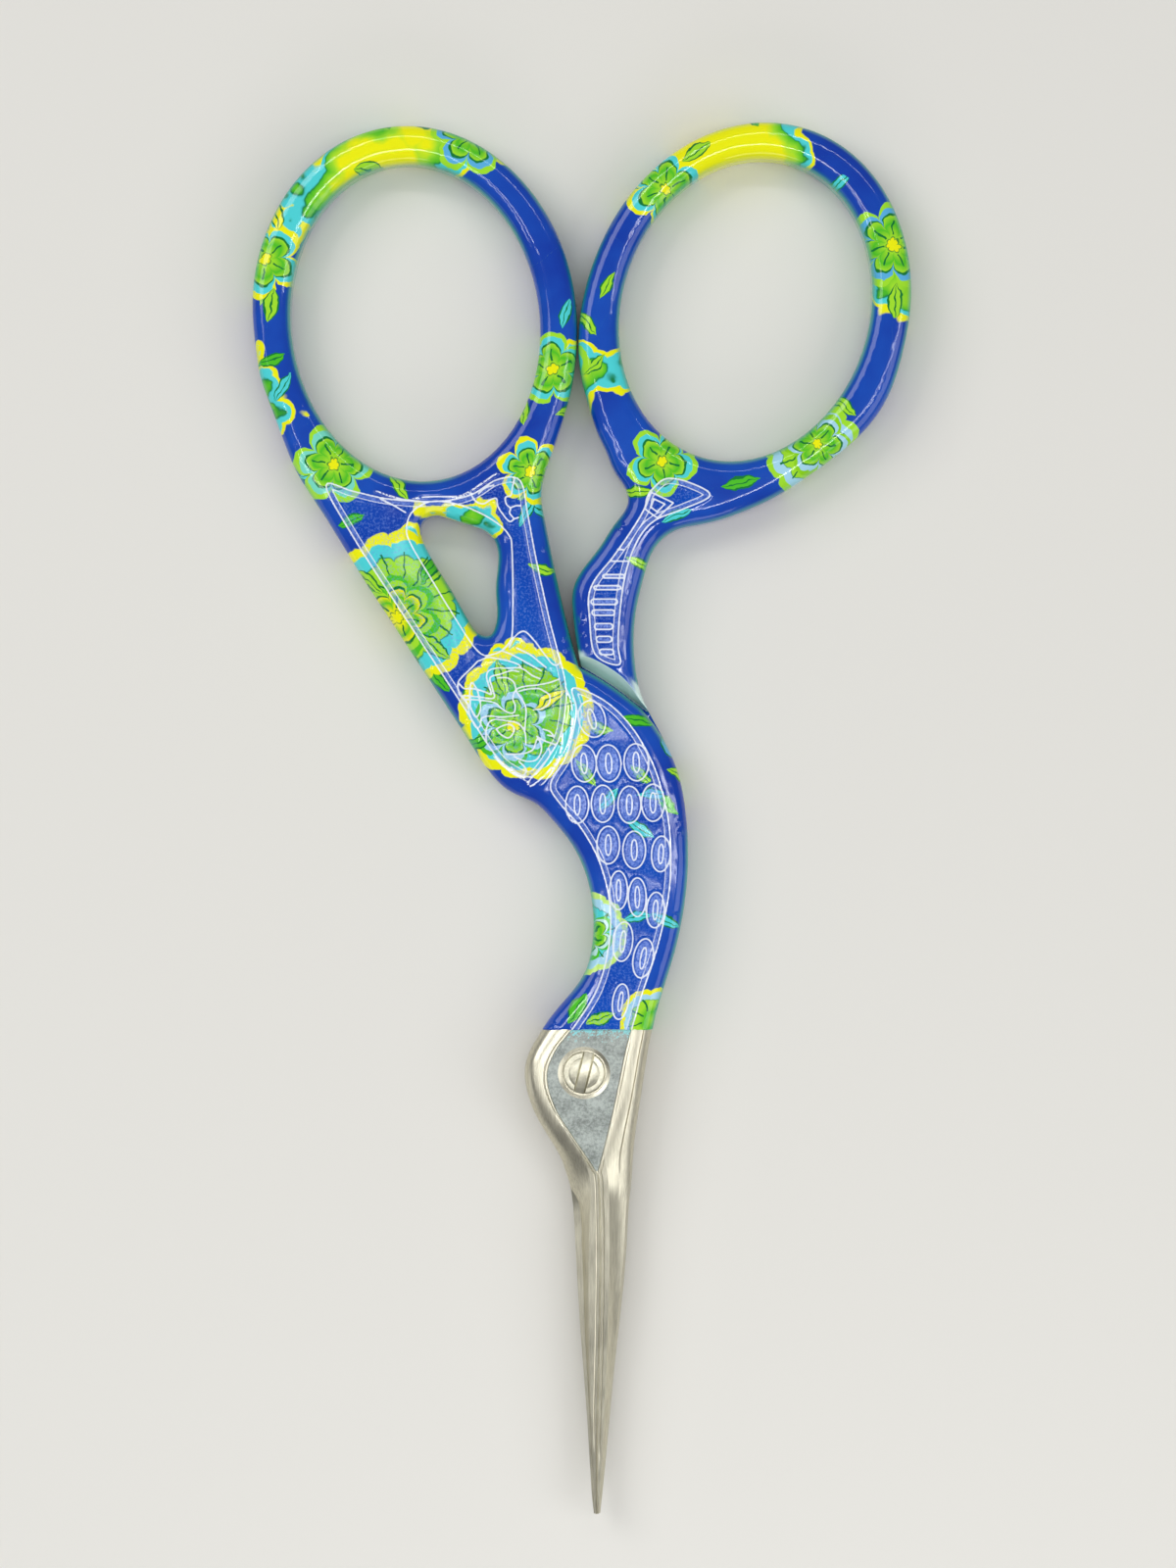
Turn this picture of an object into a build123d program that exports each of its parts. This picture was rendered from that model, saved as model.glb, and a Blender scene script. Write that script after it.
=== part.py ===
from build123d import *
import copy
import math
import os

# Stork embroidery scissors: two crossing halves turning on one slotted screw.
# The coat ends a little above the pivot; head and blades below it are bare and a coat's thickness lower.
# Drawn about the pivot: X to the right, Y from the tips to the rings, Z up out of the front face.
# At the end everything is moved so that the origin is the centre of the underside.

# driving sizes, mm
overall_length = 115.0
half_thickness = 2.3
lap_gap = 0.03
coat_thickness = 0.06

# rounding of the coated edges, held under its share of the ring walls, and how level an edge counts as flat
band_radius = 1.2
band_wall_share = 0.45
flat_tolerance = 0.003

# how far the cutter of a sloped step runs past the face, as a share of the height
step_overrun = 1.2

# finger rings: the left bore long and short way across, the walls at its ends and sides, and the
# tilts of bores and rims in degrees
bore_long = 26.2
bore_short = 20.5
ring_end_wall = 2.95
ring_side_wall = 3.125
left_bore_tilt = 6.9
left_rim_tilt = 7.6
right_bore_tilt = -17.4
right_rim_tilt = -19.0

# the right bore is a little smaller, with thicker end walls
right_bore_less_long = 0.9
right_bore_less_short = 0.1
right_end_wall_more = 0.6

# how far the middle of each bore lies from the middle of its rim
left_bore_shift = (0.04, -0.24)
right_bore_shift = (-0.01, 0.43)

# what the overall width has beyond the two rims
ring_gap = 1.0

# the stretch of each outer rim that is a true ellipse, and the steps along it, degrees
left_rim_angles = (105, -95)
right_rim_angles = (-88, 88)
rim_step = 20

# blades
blade_inset = 0.12
bevel_width = 0.7
bevel_rise = 0.3
valley_depth = 0.07
bevel_share = 0.3
flank_steps = 5

# relief of the engraved panels
relief_depth = 0.18
scale_long = 3.0
scale_short = 2.0
scale_rim = 0.28
scale_groove = 0.22
rib_length = 1.9
rib_width = 0.38
arc_width = 0.35
ribbon_steps = 12

# pivot screw
shoulder_radius = 1.5
shoulder_clearance = 0.03
head_radius = 1.75
head_height = 0.85
head_inset = 0.06
head_step_radius = 1.2
head_step_height = 0.05
head_edge = 0.1
head_seat_gap = 0.02
counterbore_radius = 1.86
counterbore_chamfer = 0.28
slot_width = 0.7
slot_depth = 0.5
slot_angle = 14.0
thread_radius = 1.25
thread_depth = 0.22
thread_clearance = 0.03
thread_end_inset = 0.15
thread_end_length = 0.07
thread_turns = 5
thread_relief = 0.1

# sizes worked out from the ones above
left_rim_long = bore_long + 2 * ring_end_wall
left_rim_short = bore_short + 2 * ring_side_wall
right_bore_long = bore_long - right_bore_less_long
right_bore_short = bore_short - right_bore_less_short
right_rim_long = right_bore_long + 2 * (ring_end_wall + right_end_wall_more)
right_rim_short = right_bore_short + 2 * ring_side_wall
overall_width = left_rim_short + right_rim_short + ring_gap
edge_radius = min(band_radius, band_wall_share * min(ring_end_wall, ring_side_wall))

# outline points: x as a share of the overall width, y as a share of the overall length.  the points
# where an outline starts and ends round a ring are shares of the rim's half sizes about its middle
left_rim_inner_share = -0.0108
left_rim_foot_share = 0.3999
right_rim_inner_share = 0.0002
right_rim_foot_share = 0.4018
upper_tail_edge_share = [
    (-0.0080, 0.2905), (-0.0250, 0.3205), (-0.0462, 0.3652), (-0.0596, 0.3969), (-0.0646, 0.4145),
]
left_ring_start_share = [
    (0.8076, -0.7743), (0.8621, -0.6482), (0.9105, -0.5271), (0.9532, -0.4060),
]
left_ring_end_share = [
    (-0.9547, -0.2849), (-0.9059, -0.4060), (-0.8514, -0.5271), (-0.7969, -0.6482), (-0.7367, -0.7693),
]
upper_back_edge_share = [
    (-0.4005, 0.4039), (-0.3454, 0.3617), (-0.2874, 0.3194), (-0.2293, 0.2772), (-0.1787, 0.2405),
    (-0.1444, 0.2159), (-0.1117, 0.2011), (-0.0759, 0.1933), (-0.0462, 0.1800), (-0.0194, 0.1638),
    (0.0015, 0.1433), (0.0127, 0.1187), (0.0127, 0.0940), (0.0000, 0.0708), (-0.0283, 0.0525),
    (-0.0640, 0.0306),
]
upper_front_edge_share = [
    (0.1042, 0.0306), (0.1161, 0.0532), (0.1340, 0.0799), (0.1489, 0.1095), (0.1578, 0.1469),
    (0.1549, 0.1842), (0.1400, 0.2187), (0.1132, 0.2441), (0.0861, 0.2610),
]
upper_shoulder_edge_share = [
    (0.0861, 0.2610), (0.0727, 0.2659), (0.0462, 0.2754), (0.0223, 0.2827), (-0.0080, 0.2905),
]
tail_step_foot_share = [
    (-0.0060, 0.3089), (-0.0074, 0.2905), (-0.0074, 0.2736), (-0.0112, 0.2490), (-0.0283, 0.2180),
    (-0.0744, 0.1933), (-0.0938, 0.1870),
]
tail_step_crest_share = [
    (-0.0089, 0.3110), (-0.0194, 0.2927), (-0.0253, 0.2758), (-0.0298, 0.2532), (-0.0462, 0.2264),
    (-0.0923, 0.2025), (-0.1132, 0.1969),
]
tail_step_far_share = [
    (-0.1429, 0.1363), (-0.1429, -0.0750), (0.2442, -0.0750), (0.2442, 0.3194),
]
leg_step_foot_share = [
    (-0.0387, 0.2976), (-0.0060, 0.2915), (0.0223, 0.2836), (0.0462, 0.2763), (0.0730, 0.2669),
    (0.0878, 0.2617), (0.1176, 0.2511),
]
leg_step_crest_share = [
    (-0.0313, 0.3046), (-0.0030, 0.2997), (0.0262, 0.2934), (0.0462, 0.2877), (0.0670, 0.2796),
    (0.0834, 0.2694), (0.1057, 0.2532),
]
leg_step_far_share = [
    (0.2442, 0.2349), (0.2442, -0.0750), (-0.1727, -0.0750), (-0.1727, 0.2842),
]
lower_leg_inner_share = [
    (-0.0048, 0.2905), (-0.0119, 0.3089), (-0.0174, 0.3300), (-0.0171, 0.3455), (-0.0030, 0.3603),
    (0.0223, 0.3758), (0.0476, 0.3941), (0.0663, 0.4082),
]
right_ring_start_share = [
    (-0.7424, -0.8850), (-0.8065, -0.8048), (-0.8612, -0.6997), (-0.9159, -0.6046), (-0.9645, -0.4846),
    (-1.0069, -0.3647),
]
right_ring_end_share = [
    (0.9078, -0.3647), (0.8318, -0.4846), (0.7134, -0.6046), (0.5432, -0.7246), (0.3489, -0.8396),
    (0.1480, -0.9397), (-0.0222, -1.0021),
]
lower_leg_outer_share = [
    (0.1846, 0.3934), (0.1370, 0.3881), (0.1072, 0.3758), (0.0908, 0.3553), (0.0789, 0.3307),
    (0.0755, 0.3074), (0.0789, 0.2870), (0.0878, 0.2694), (0.1072, 0.2511), (0.1333, 0.2257),
]
lower_front_edge_share = [
    (0.1526, 0.1842), (0.1554, 0.1469), (0.1467, 0.1095), (0.1318, 0.0799), (0.1139, 0.0532),
    (0.1020, 0.0306),
]
lower_lap_edge_share = [
    (-0.0048, 0.2905), (-0.0042, 0.2736), (-0.0077, 0.2490), (-0.0247, 0.2166), (-0.0685, 0.1912),
]
lower_throat_edge_share = [
    (-0.0685, 0.1912), (-0.0432, 0.1786), (-0.0170, 0.1634), (0.0039, 0.1433), (0.0149, 0.1187),
    (0.0149, 0.0940), (0.0021, 0.0701), (-0.0262, 0.0515), (-0.0616, 0.0306),
]
hole_share = [
    (-0.2475, 0.3892), (-0.2412, 0.3962), (-0.2278, 0.3990), (-0.2085, 0.3976), (-0.1757, 0.3927),
    (-0.1429, 0.3856), (-0.1348, 0.3800), (-0.1340, 0.3476), (-0.1348, 0.3194), (-0.1429, 0.3134),
    (-0.1578, 0.3141), (-0.1727, 0.3222), (-0.2070, 0.3504), (-0.2427, 0.3793),
]
hole_rim_share = [
    (-0.2685, 0.3892), (-0.2613, 0.4004), (-0.2412, 0.4073), (-0.2174, 0.4089), (-0.1817, 0.4054),
    (-0.1415, 0.3965), (-0.1147, 0.3856), (-0.1087, 0.3722), (-0.1080, 0.3194), (-0.1147, 0.3067),
    (-0.1355, 0.2997), (-0.1608, 0.3018), (-0.2019, 0.3308), (-0.2324, 0.3546), (-0.2621, 0.3786),
]
tail_panel_inner_share = [
    (-0.0968, 0.4237), (-0.0849, 0.3990), (-0.0715, 0.3652), (-0.0514, 0.3222), (-0.0290, 0.2814),
]
tail_panel_wing_share = [
    (-0.0290, 0.2814), (-0.0283, 0.2617), (-0.0357, 0.2419), (-0.0491, 0.2293), (-0.0774, 0.2124),
]
tail_panel_outer_share = [
    (-0.0774, 0.2124), (-0.1087, 0.2169), (-0.1370, 0.2293), (-0.1817, 0.2617), (-0.2323, 0.2983),
    (-0.2918, 0.3413), (-0.3499, 0.3842), (-0.3901, 0.4201),
]
tail_panel_ring_share = [
    (-0.3901, 0.4201), (-0.3484, 0.4159), (-0.2918, 0.4103), (-0.2204, 0.4089), (-0.1712, 0.4135),
    (-0.1310, 0.4244), (-0.0968, 0.4237),
]
body_panel_wing_share = [
    (-0.0164, 0.2754), (-0.0119, 0.2617), (-0.0149, 0.2476), (-0.0268, 0.2264), (-0.0506, 0.2067),
]
body_panel_throat_share = [
    (-0.0506, 0.2067), (-0.0372, 0.1933), (-0.0030, 0.1743), (0.0238, 0.1504), (0.0387, 0.1222),
    (0.0380, 0.0926), (0.0208, 0.0609), (-0.0134, 0.0342), (-0.0447, 0.0151), (-0.0566, -0.0032),
    (-0.0432, -0.0257), (-0.0164, -0.0461), (0.0060, -0.0616), (0.0201, -0.0722),
]
body_panel_nape_share = [
    (0.0201, -0.0722), (0.0268, -0.0609), (0.0380, -0.0398), (0.0506, -0.0130), (0.0625, 0.0144),
    (0.0849, 0.0525), (0.1102, 0.0891), (0.1273, 0.1257), (0.1310, 0.1574), (0.1251, 0.1870),
    (0.1042, 0.2208), (0.0700, 0.2486), (0.0298, 0.2666), (-0.0164, 0.2754),
]
under_wing_share = [
    (0.0208, 0.2687), (0.0216, 0.2490), (0.0067, 0.2166), (-0.0283, 0.1898),
]
under_throat_share = [
    (-0.0283, 0.1898), (-0.0015, 0.1743), (0.0261, 0.1504), (0.0417, 0.1222), (0.0409, 0.0926),
    (0.0238, 0.0595), (-0.0089, 0.0335), (-0.0417, 0.0151), (-0.0536, -0.0032), (-0.0409, -0.0257),
    (-0.0141, -0.0461), (0.0074, -0.0616), (0.0201, -0.0722),
]
under_nape_share = [
    (0.0201, -0.0722), (0.0268, -0.0609), (0.0380, -0.0398), (0.0506, -0.0130), (0.0625, 0.0144),
    (0.0849, 0.0525), (0.1087, 0.0891), (0.1251, 0.1257), (0.1295, 0.1574), (0.1236, 0.1870),
    (0.1027, 0.2208), (0.0700, 0.2483), (0.0208, 0.2687),
]
leg_panel_inner_share = [
    (0.0164, 0.2997), (0.0082, 0.3265), (0.0074, 0.3420), (0.0179, 0.3539), (0.0432, 0.3687),
    (0.0715, 0.3877), (0.0908, 0.4032), (0.0953, 0.4117),
]
leg_panel_ring_share = [
    (0.0953, 0.4117), (0.1042, 0.4180), (0.1251, 0.4251), (0.1593, 0.4223), (0.1906, 0.4131),
]
leg_panel_outer_share = [
    (0.1906, 0.4131), (0.1489, 0.4032), (0.1102, 0.3962), (0.0878, 0.3863), (0.0707, 0.3701),
    (0.0596, 0.3497), (0.0529, 0.3229), (0.0514, 0.3053), (0.0529, 0.2920),
]
leg_kite_share = [
    (0.1017, 0.4154), (0.1350, 0.4078), (0.1108, 0.3970), (0.0919, 0.4035),
]
wing_arc_share = [
    (-0.0402, 0.2772), (-0.0402, 0.2596), (-0.0476, 0.2434), (-0.0700, 0.2272), (-0.0983, 0.2201),
]
leg_rib_center_share = [
    (0.0342, 0.3659), (0.0283, 0.3565), (0.0342, 0.3471), (0.0313, 0.3377), (0.0298, 0.3280),
    (0.0313, 0.3180), (0.0328, 0.3083), (0.0342, 0.2997),
]
scale_center_share = [
    (0.0121, 0.2531), (0.0004, 0.2213), (0.0380, 0.2213), (0.0777, 0.2221), (-0.0082, 0.1921),
    (0.0293, 0.1930), (0.0685, 0.1921), (0.1027, 0.1912), (0.0365, 0.1626), (0.0752, 0.1595),
    (0.1124, 0.1567), (0.0529, 0.1304), (0.0804, 0.1260), (0.1087, 0.1173), (0.0596, 0.0939),
    (0.0878, 0.0818), (0.0491, 0.0532),
]
scale_lean = [15, 0, 0, 6, 0, 0, 0, 0, 0, 0, -4, 2, 0, -4, -6, -8, -10]

# sections of head and blade from the end of the coat to the tip.  y is a share of the length; left side,
# left ridge, valley, right ridge and right side are shares of the width; cutting side height, ridge
# height and back side height are shares of the half thickness; the last number is the roundness.
blade_stations_share = [
    (0.0306, -0.0640, -0.0335, 0.0134, 0.0774, 0.1042, 0.478, 1, 0.478, 1),
    (0.0236, -0.0736, -0.0439, 0.0104, 0.0744, 0.1013, 0.478, 1, 0.478, 1),
    (0.0166, -0.0819, -0.0543, 0.0074, 0.0715, 0.0983, 0.478, 1, 0.478, 1),
    (0.0088, -0.0884, -0.0640, 0.0045, 0.0680, 0.0957, 0.478, 1, 0.478, 1),
    (0.0000, -0.0911, -0.0677, 0.0015, 0.0648, 0.0928, 0.478, 1, 0.478, 1),
    (-0.0088, -0.0893, -0.0663, 0.0000, 0.0610, 0.0898, 0.478, 1, 0.478, 1),
    (-0.0173, -0.0852, -0.0603, 0.0000, 0.0569, 0.0873, 0.47, 1, 0.478, 1),
    (-0.0264, -0.0779, -0.0503, 0.0015, 0.0521, 0.0843, 0.45, 1, 0.47, 0.97),
    (-0.0356, -0.0685, -0.0380, 0.0045, 0.0469, 0.0813, 0.42, 1, 0.46, 0.92),
    (-0.0447, -0.0569, -0.0253, 0.0089, 0.0417, 0.0788, 0.38, 1, 0.45, 0.84),
    (-0.0539, -0.0447, -0.0127, 0.0134, 0.0365, 0.0765, 0.33, 1, 0.44, 0.72),
    (-0.0616, -0.0357, -0.0022, 0.0171, 0.0332, 0.0752, 0.29, 0.995, 0.43, 0.6),
    (-0.0701, -0.0289, 0.0079, 0.0205, 0.0301, 0.0737, 0.24, 0.985, 0.43, 0.42),
    (-0.0806, -0.0220, 0.0191, 0.0228, 0.0265, 0.0718, 0.18, 0.97, 0.43, 0.2),
    (-0.0933, -0.0173, 0.0205, 0.0235, 0.0270, 0.0686, 0.11, 0.945, 0.42, 0),
    (-0.1067, -0.0149, 0.0211, 0.0243, 0.0275, 0.0667, 0.09, 0.915, 0.41, 0),
    (-0.1243, -0.0131, 0.0217, 0.0246, 0.0277, 0.0648, 0.09, 0.88, 0.39, 0),
    (-0.1454, -0.0107, 0.0217, 0.0244, 0.0271, 0.0613, 0.09, 0.83, 0.37, 0),
    (-0.1807, -0.0063, 0.0205, 0.0231, 0.0256, 0.0536, 0.09, 0.74, 0.33, 0),
    (-0.2159, -0.0006, 0.0192, 0.0216, 0.0240, 0.0454, 0.09, 0.64, 0.29, 0),
    (-0.2511, 0.0049, 0.0173, 0.0194, 0.0214, 0.0384, 0.09, 0.53, 0.25, 0),
    (-0.2863, 0.0094, 0.0162, 0.0182, 0.0201, 0.0313, 0.08, 0.42, 0.21, 0),
    (-0.3074, 0.0124, 0.0171, 0.0191, 0.0210, 0.0268, 0.08, 0.34, 0.18, 0),
    (-0.3173, 0.0149, 0.0182, 0.0197, 0.0211, 0.0244, 0.08, 0.28, 0.15, 0),
]


def at(share):
    """A point from its shares of the overall width and the overall length."""
    return (share[0] * overall_width, share[1] * overall_length)


def along(shares):
    """A smooth edge through a table of share points."""
    return Spline(*[at(share) for share in shares])


def region(*edges):
    """A flat face inside a closed loop of edges."""
    return make_face(Wire([piece for edge in edges for piece in edge.edges()]))


def beside(center, long_size, short_size, shares):
    """Points beside a ring, from shares of its half sizes about its middle."""
    return [(center[0] + x * short_size / 2, center[1] + y * long_size / 2) for x, y in shares]


def rim_points(center, long_size, short_size, tilt, start, stop):
    """Points of a tilted ellipse; the angle runs from the upper end of its long way, right is plus."""
    lean = math.radians(tilt)
    count = 1 + round(abs(stop - start) / rim_step)
    points = []
    for index in range(count):
        turn = math.radians(start + (stop - start) * index / (count - 1))
        up = math.cos(turn) * long_size / 2
        side = math.sin(turn) * short_size / 2
        x = center[0] - up * math.sin(lean) + side * math.cos(lean)
        y = center[1] + up * math.cos(lean) + side * math.sin(lean)
        points.append((x, y))
    return points


def bore(rim_center, shift, long_size, short_size, tilt):
    """The face of a finger opening, its middle shifted from the rim's."""
    place = Location((rim_center[0] + shift[0], rim_center[1] + shift[1], 0), (0, 0, tilt))
    return place * Ellipse(short_size / 2, long_size / 2)


def prism(face, bottom, top):
    """A face extruded between two heights."""
    return extrude(Pos(0, 0, bottom) * face, amount=top - bottom)


def rounded(solid, height):
    """The solid with its edges at one height rounded, but for the one where the coat ends."""
    edges = []
    for edge in solid.edges():
        box = edge.bounding_box()
        level = abs(box.min.Z - height) < flat_tolerance and abs(box.max.Z - height) < flat_tolerance
        if level and box.size.Y > flat_tolerance:
            edges.append(edge)
    return fillet(edges, edge_radius)


def step_cutter(foot_share, crest_share, far_share, reach):
    """What stands free of a half beyond its sloped step, from the lap plane past a face."""
    sections = []
    for height_share in (0, step_overrun):
        line = []
        for foot, crest in zip(foot_share, crest_share):
            foot_x, foot_y = at(foot)
            crest_x, crest_y = at(crest)
            x = foot_x + (crest_x - foot_x) * height_share
            y = foot_y + (crest_y - foot_y) * height_share
            line.append((x, y))
        far = [at(share) for share in far_share]
        face = region(Spline(*line), Polyline(line[-1], *far, line[0]))
        sections.append(Pos(0, 0, reach * height_share) * face)
    return loft(sections, ruled=True)


def flank(side, ridge, roundness, cutting):
    """Points from a side up to its ridge: rounded at the head, flat or with a cutting bevel below."""
    width = ridge[0] - side[0]
    rise = ridge[1] - side[1]
    inward = math.copysign(min(bevel_width, abs(width) * bevel_share), width)
    bevel = (side[0] + inward, side[1] + min(bevel_rise, rise * bevel_share))
    points = []
    for step in range(flank_steps):
        share = step / flank_steps
        turn = share * math.pi / 2
        arc = (side[0] + width * (1 - math.cos(turn)), side[1] + rise * math.sin(turn))
        flat = (side[0] + width * share, side[1] + rise * share)
        if cutting and step == 0:
            flat = side
        elif cutting:
            run = (step - 1) / (flank_steps - 1)
            flat = (bevel[0] + (ridge[0] - bevel[0]) * run, bevel[1] + (ridge[1] - bevel[1]) * run)
        x = flat[0] + (arc[0] - flat[0]) * roundness
        z = flat[1] + (arc[1] - flat[1]) * roundness
        points.append((x, z))
    points.append(ridge)
    return points


def blade_section(row, inset, cutting_left):
    """One closed section of head or blade, standing on the lap plane with its relief side up."""
    y_share, left, ridge_left, valley, ridge_right, right, edge_high, ridge_high, back_high, roundness = row
    left_high, right_high = (edge_high, back_high) if cutting_left else (back_high, edge_high)
    ridge_z = ridge_high * (half_thickness - coat_thickness)
    inset += coat_thickness * roundness
    left_side = (left * overall_width + inset, left_high * half_thickness)
    left_ridge = (ridge_left * overall_width + inset * roundness, ridge_z)
    right_ridge = (ridge_right * overall_width - inset * roundness, ridge_z)
    right_side = (right * overall_width - inset, right_high * half_thickness)
    profile = flank(left_side, left_ridge, roundness, cutting_left)
    profile.append((valley * overall_width, ridge_z - valley_depth * (1 - roundness)))
    profile += reversed(flank(right_side, right_ridge, roundness, not cutting_left))
    profile.append((right_side[0], lap_gap / 2))
    profile.append((left_side[0], lap_gap / 2))
    y = y_share * overall_length
    return Face(Wire.make_polygon([(x, y, z) for x, z in profile], close=True))


def blade(inset, cutting_left):
    """Head and blade from the end of the coat to the tip, relief side up."""
    sections = [blade_section(row, inset, cutting_left) for row in blade_stations_share]
    return loft(sections, ruled=True)


def ribbon(shares, width):
    """A narrow face along a smooth line, with square ends."""
    line = along(shares)
    one_side = []
    other_side = []
    for index in range(ribbon_steps + 1):
        spot = line @ (index / ribbon_steps)
        way = line % (index / ribbon_steps)
        one_side.append((spot.X - way.Y * width / 2, spot.Y + way.X * width / 2))
        other_side.append((spot.X + way.Y * width / 2, spot.Y - way.X * width / 2))
    return region(
        Spline(*one_side),
        Line(one_side[-1], other_side[-1]),
        Spline(*other_side),
        Line(other_side[0], one_side[0]),
    )


def scales():
    """The feather scales: outer edge, outer and inner edge of the groove around the middle."""
    faces = []
    for share, lean in zip(scale_center_share, scale_lean):
        x, y = at(share)
        place = Location((x, y, 0), (0, 0, lean))
        rings = []
        for narrower in (0, scale_rim, scale_rim + scale_groove):
            rings.append(place * Ellipse(scale_short / 2 - narrower, scale_long / 2 - narrower))
        faces.append(rings)
    return faces


def carve(solid, floor, panels):
    """The solid with the recessed faces cut in from one side."""
    for face in panels:
        if floor > 0:
            cutter = prism(face, floor, floor + half_thickness)
        else:
            cutter = prism(face, floor - half_thickness, floor)
        solid = solid - cutter
    return solid


def body_relief(panel):
    """Recess of a body panel with its feather scales left standing."""
    recess = panel
    grooves = []
    for outline, groove_out, groove_in in scales():
        recess = recess - outline
        grooves.append((groove_out - groove_in) & panel)
    return [recess] + grooves


def tail_relief():
    """Recess of the tail panel with the rim of the hole and the wing arc left standing."""
    panel = region(
        along(tail_panel_inner_share),
        along(tail_panel_wing_share),
        along(tail_panel_outer_share),
        along(tail_panel_ring_share),
    )
    hole_rim = region(Spline(*[at(share) for share in hole_rim_share], periodic=True))
    return [panel - hole_rim - ribbon(wing_arc_share, arc_width)]


def leg_relief():
    """Recess of the leg panel with its ribs and the kite left standing."""
    panel = region(
        along(leg_panel_inner_share),
        along(leg_panel_ring_share),
        along(leg_panel_outer_share),
        Line(at(leg_panel_outer_share[-1]), at(leg_panel_inner_share[0])),
    )
    kite = make_face(Polyline(*[at(share) for share in leg_kite_share], close=True))
    recess = panel - kite
    for share in leg_rib_center_share:
        recess = recess - Pos(*at(share)) * SlotOverall(rib_length, rib_width)
    return [recess]


# faces of the two halves from the end of the coat to the rings
left_inner, left_foot = at((left_rim_inner_share, left_rim_foot_share))
left_center = (left_inner - left_rim_short / 2, left_foot + left_rim_long / 2)
left_rim = rim_points(left_center, left_rim_long, left_rim_short, left_rim_tilt, *left_rim_angles)
upper_outer = Spline(
    *[at(share) for share in upper_tail_edge_share],
    *beside(left_center, left_rim_long, left_rim_short, left_ring_start_share),
    *left_rim,
    *beside(left_center, left_rim_long, left_rim_short, left_ring_end_share),
    *[at(share) for share in upper_back_edge_share],
)
upper_face = region(
    upper_outer,
    Line(at(upper_back_edge_share[-1]), at(upper_front_edge_share[0])),
    along(upper_front_edge_share),
    along(upper_shoulder_edge_share),
)
upper_face = upper_face - bore(left_center, left_bore_shift, bore_long, bore_short, left_bore_tilt)
hole_face = region(Spline(*[at(share) for share in hole_share], periodic=True))
upper_face = upper_face - hole_face

right_inner, right_foot = at((right_rim_inner_share, right_rim_foot_share))
right_center = (right_inner + right_rim_short / 2, right_foot + right_rim_long / 2)
right_rim = rim_points(right_center, right_rim_long, right_rim_short, right_rim_tilt, *right_rim_angles)
lower_outer = Spline(
    *[at(share) for share in lower_leg_inner_share],
    *beside(right_center, right_rim_long, right_rim_short, right_ring_start_share),
    *right_rim,
    *beside(right_center, right_rim_long, right_rim_short, right_ring_end_share),
    *[at(share) for share in lower_leg_outer_share],
    *[at(share) for share in lower_front_edge_share],
)
lower_face = region(
    lower_outer,
    Line(at(lower_front_edge_share[-1]), at(lower_throat_edge_share[-1])),
    along(lower_throat_edge_share),
    along(lower_lap_edge_share),
)
lower_face = lower_face - bore(
    right_center, right_bore_shift, right_bore_long, right_bore_short, right_bore_tilt
)

# upper half: the left ring and tail are of full thickness, neck, head and blade lie on the lower half
upper_top = rounded(prism(upper_face, lap_gap / 2, half_thickness), half_thickness)
upper_under = rounded(prism(upper_face, -half_thickness, lap_gap / 2), -half_thickness)
upper_under = upper_under - Pos(0, 0, lap_gap / 2) * step_cutter(
    tail_step_foot_share, tail_step_crest_share, tail_step_far_share, -half_thickness - lap_gap / 2
)
upper_half = upper_top + upper_under + blade(0, True)

# lower half: the right ring and leg are of full thickness, the rest lies under the upper half
lower_top = rounded(prism(lower_face, -lap_gap / 2, half_thickness), half_thickness)
lower_top = lower_top - Pos(0, 0, -lap_gap / 2) * step_cutter(
    leg_step_foot_share, leg_step_crest_share, leg_step_far_share, half_thickness + lap_gap / 2
)
lower_under = rounded(prism(lower_face, -half_thickness, -lap_gap / 2), -half_thickness)
lower_half = lower_top + lower_under + mirror(blade(blade_inset, False), about=Plane.XY)

# engraved panels on both faces
relief_floor = half_thickness - relief_depth
body_panel = region(
    along(body_panel_wing_share), along(body_panel_throat_share), along(body_panel_nape_share)
)
under_panel = region(
    along(under_wing_share), along(under_throat_share), along(under_nape_share)
)
upper_half = carve(upper_half, relief_floor, body_relief(body_panel) + tail_relief())
upper_half = carve(upper_half, -relief_floor, tail_relief())
lower_half = carve(lower_half, relief_floor, leg_relief())
lower_half = carve(lower_half, -relief_floor, body_relief(under_panel) + leg_relief())

# pivot: the upper half turns on the shoulder, the thread holds in the lower half
head_seat = half_thickness - head_inset - head_height
bearing_hole = Cylinder(shoulder_radius + shoulder_clearance, half_thickness * 2)
counterbore = Pos(0, 0, head_seat - head_seat_gap) * Cylinder(
    counterbore_radius, half_thickness, align=(Align.CENTER, Align.CENTER, Align.MIN)
)
mouth = Pos(0, 0, relief_floor - counterbore_chamfer) * Cone(
    counterbore_radius,
    counterbore_radius + counterbore_chamfer * 2,
    counterbore_chamfer * 2,
    align=(Align.CENTER, Align.CENTER, Align.MIN),
)
upper_half = upper_half - bearing_hole - counterbore - mouth

thread_root = thread_radius - thread_depth
thread_top = -lap_gap / 2 - thread_relief
thread_bottom = -half_thickness + thread_end_inset


def thread_profile(extra, top, bottom, neck_radius):
    """Half section of the thread as a stack of equal rings, from top to bottom."""
    points = [(0, top), (neck_radius, top)]
    pitch = (thread_top - thread_bottom) / thread_turns
    for turn in range(thread_turns):
        start = thread_top - pitch * turn
        points.append((thread_root + extra, start))
        points.append((thread_radius + extra, start - pitch / 2))
    points.append((thread_root + extra, thread_bottom))
    points.append((thread_root + extra, bottom))
    points.append((0, bottom))
    return points


def turned(points):
    """A solid turned about the pivot from radius and height points."""
    face = make_face(Polyline(*[(radius, 0, height) for radius, height in points], close=True))
    return revolve(face, axis=Axis.Z)


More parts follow.
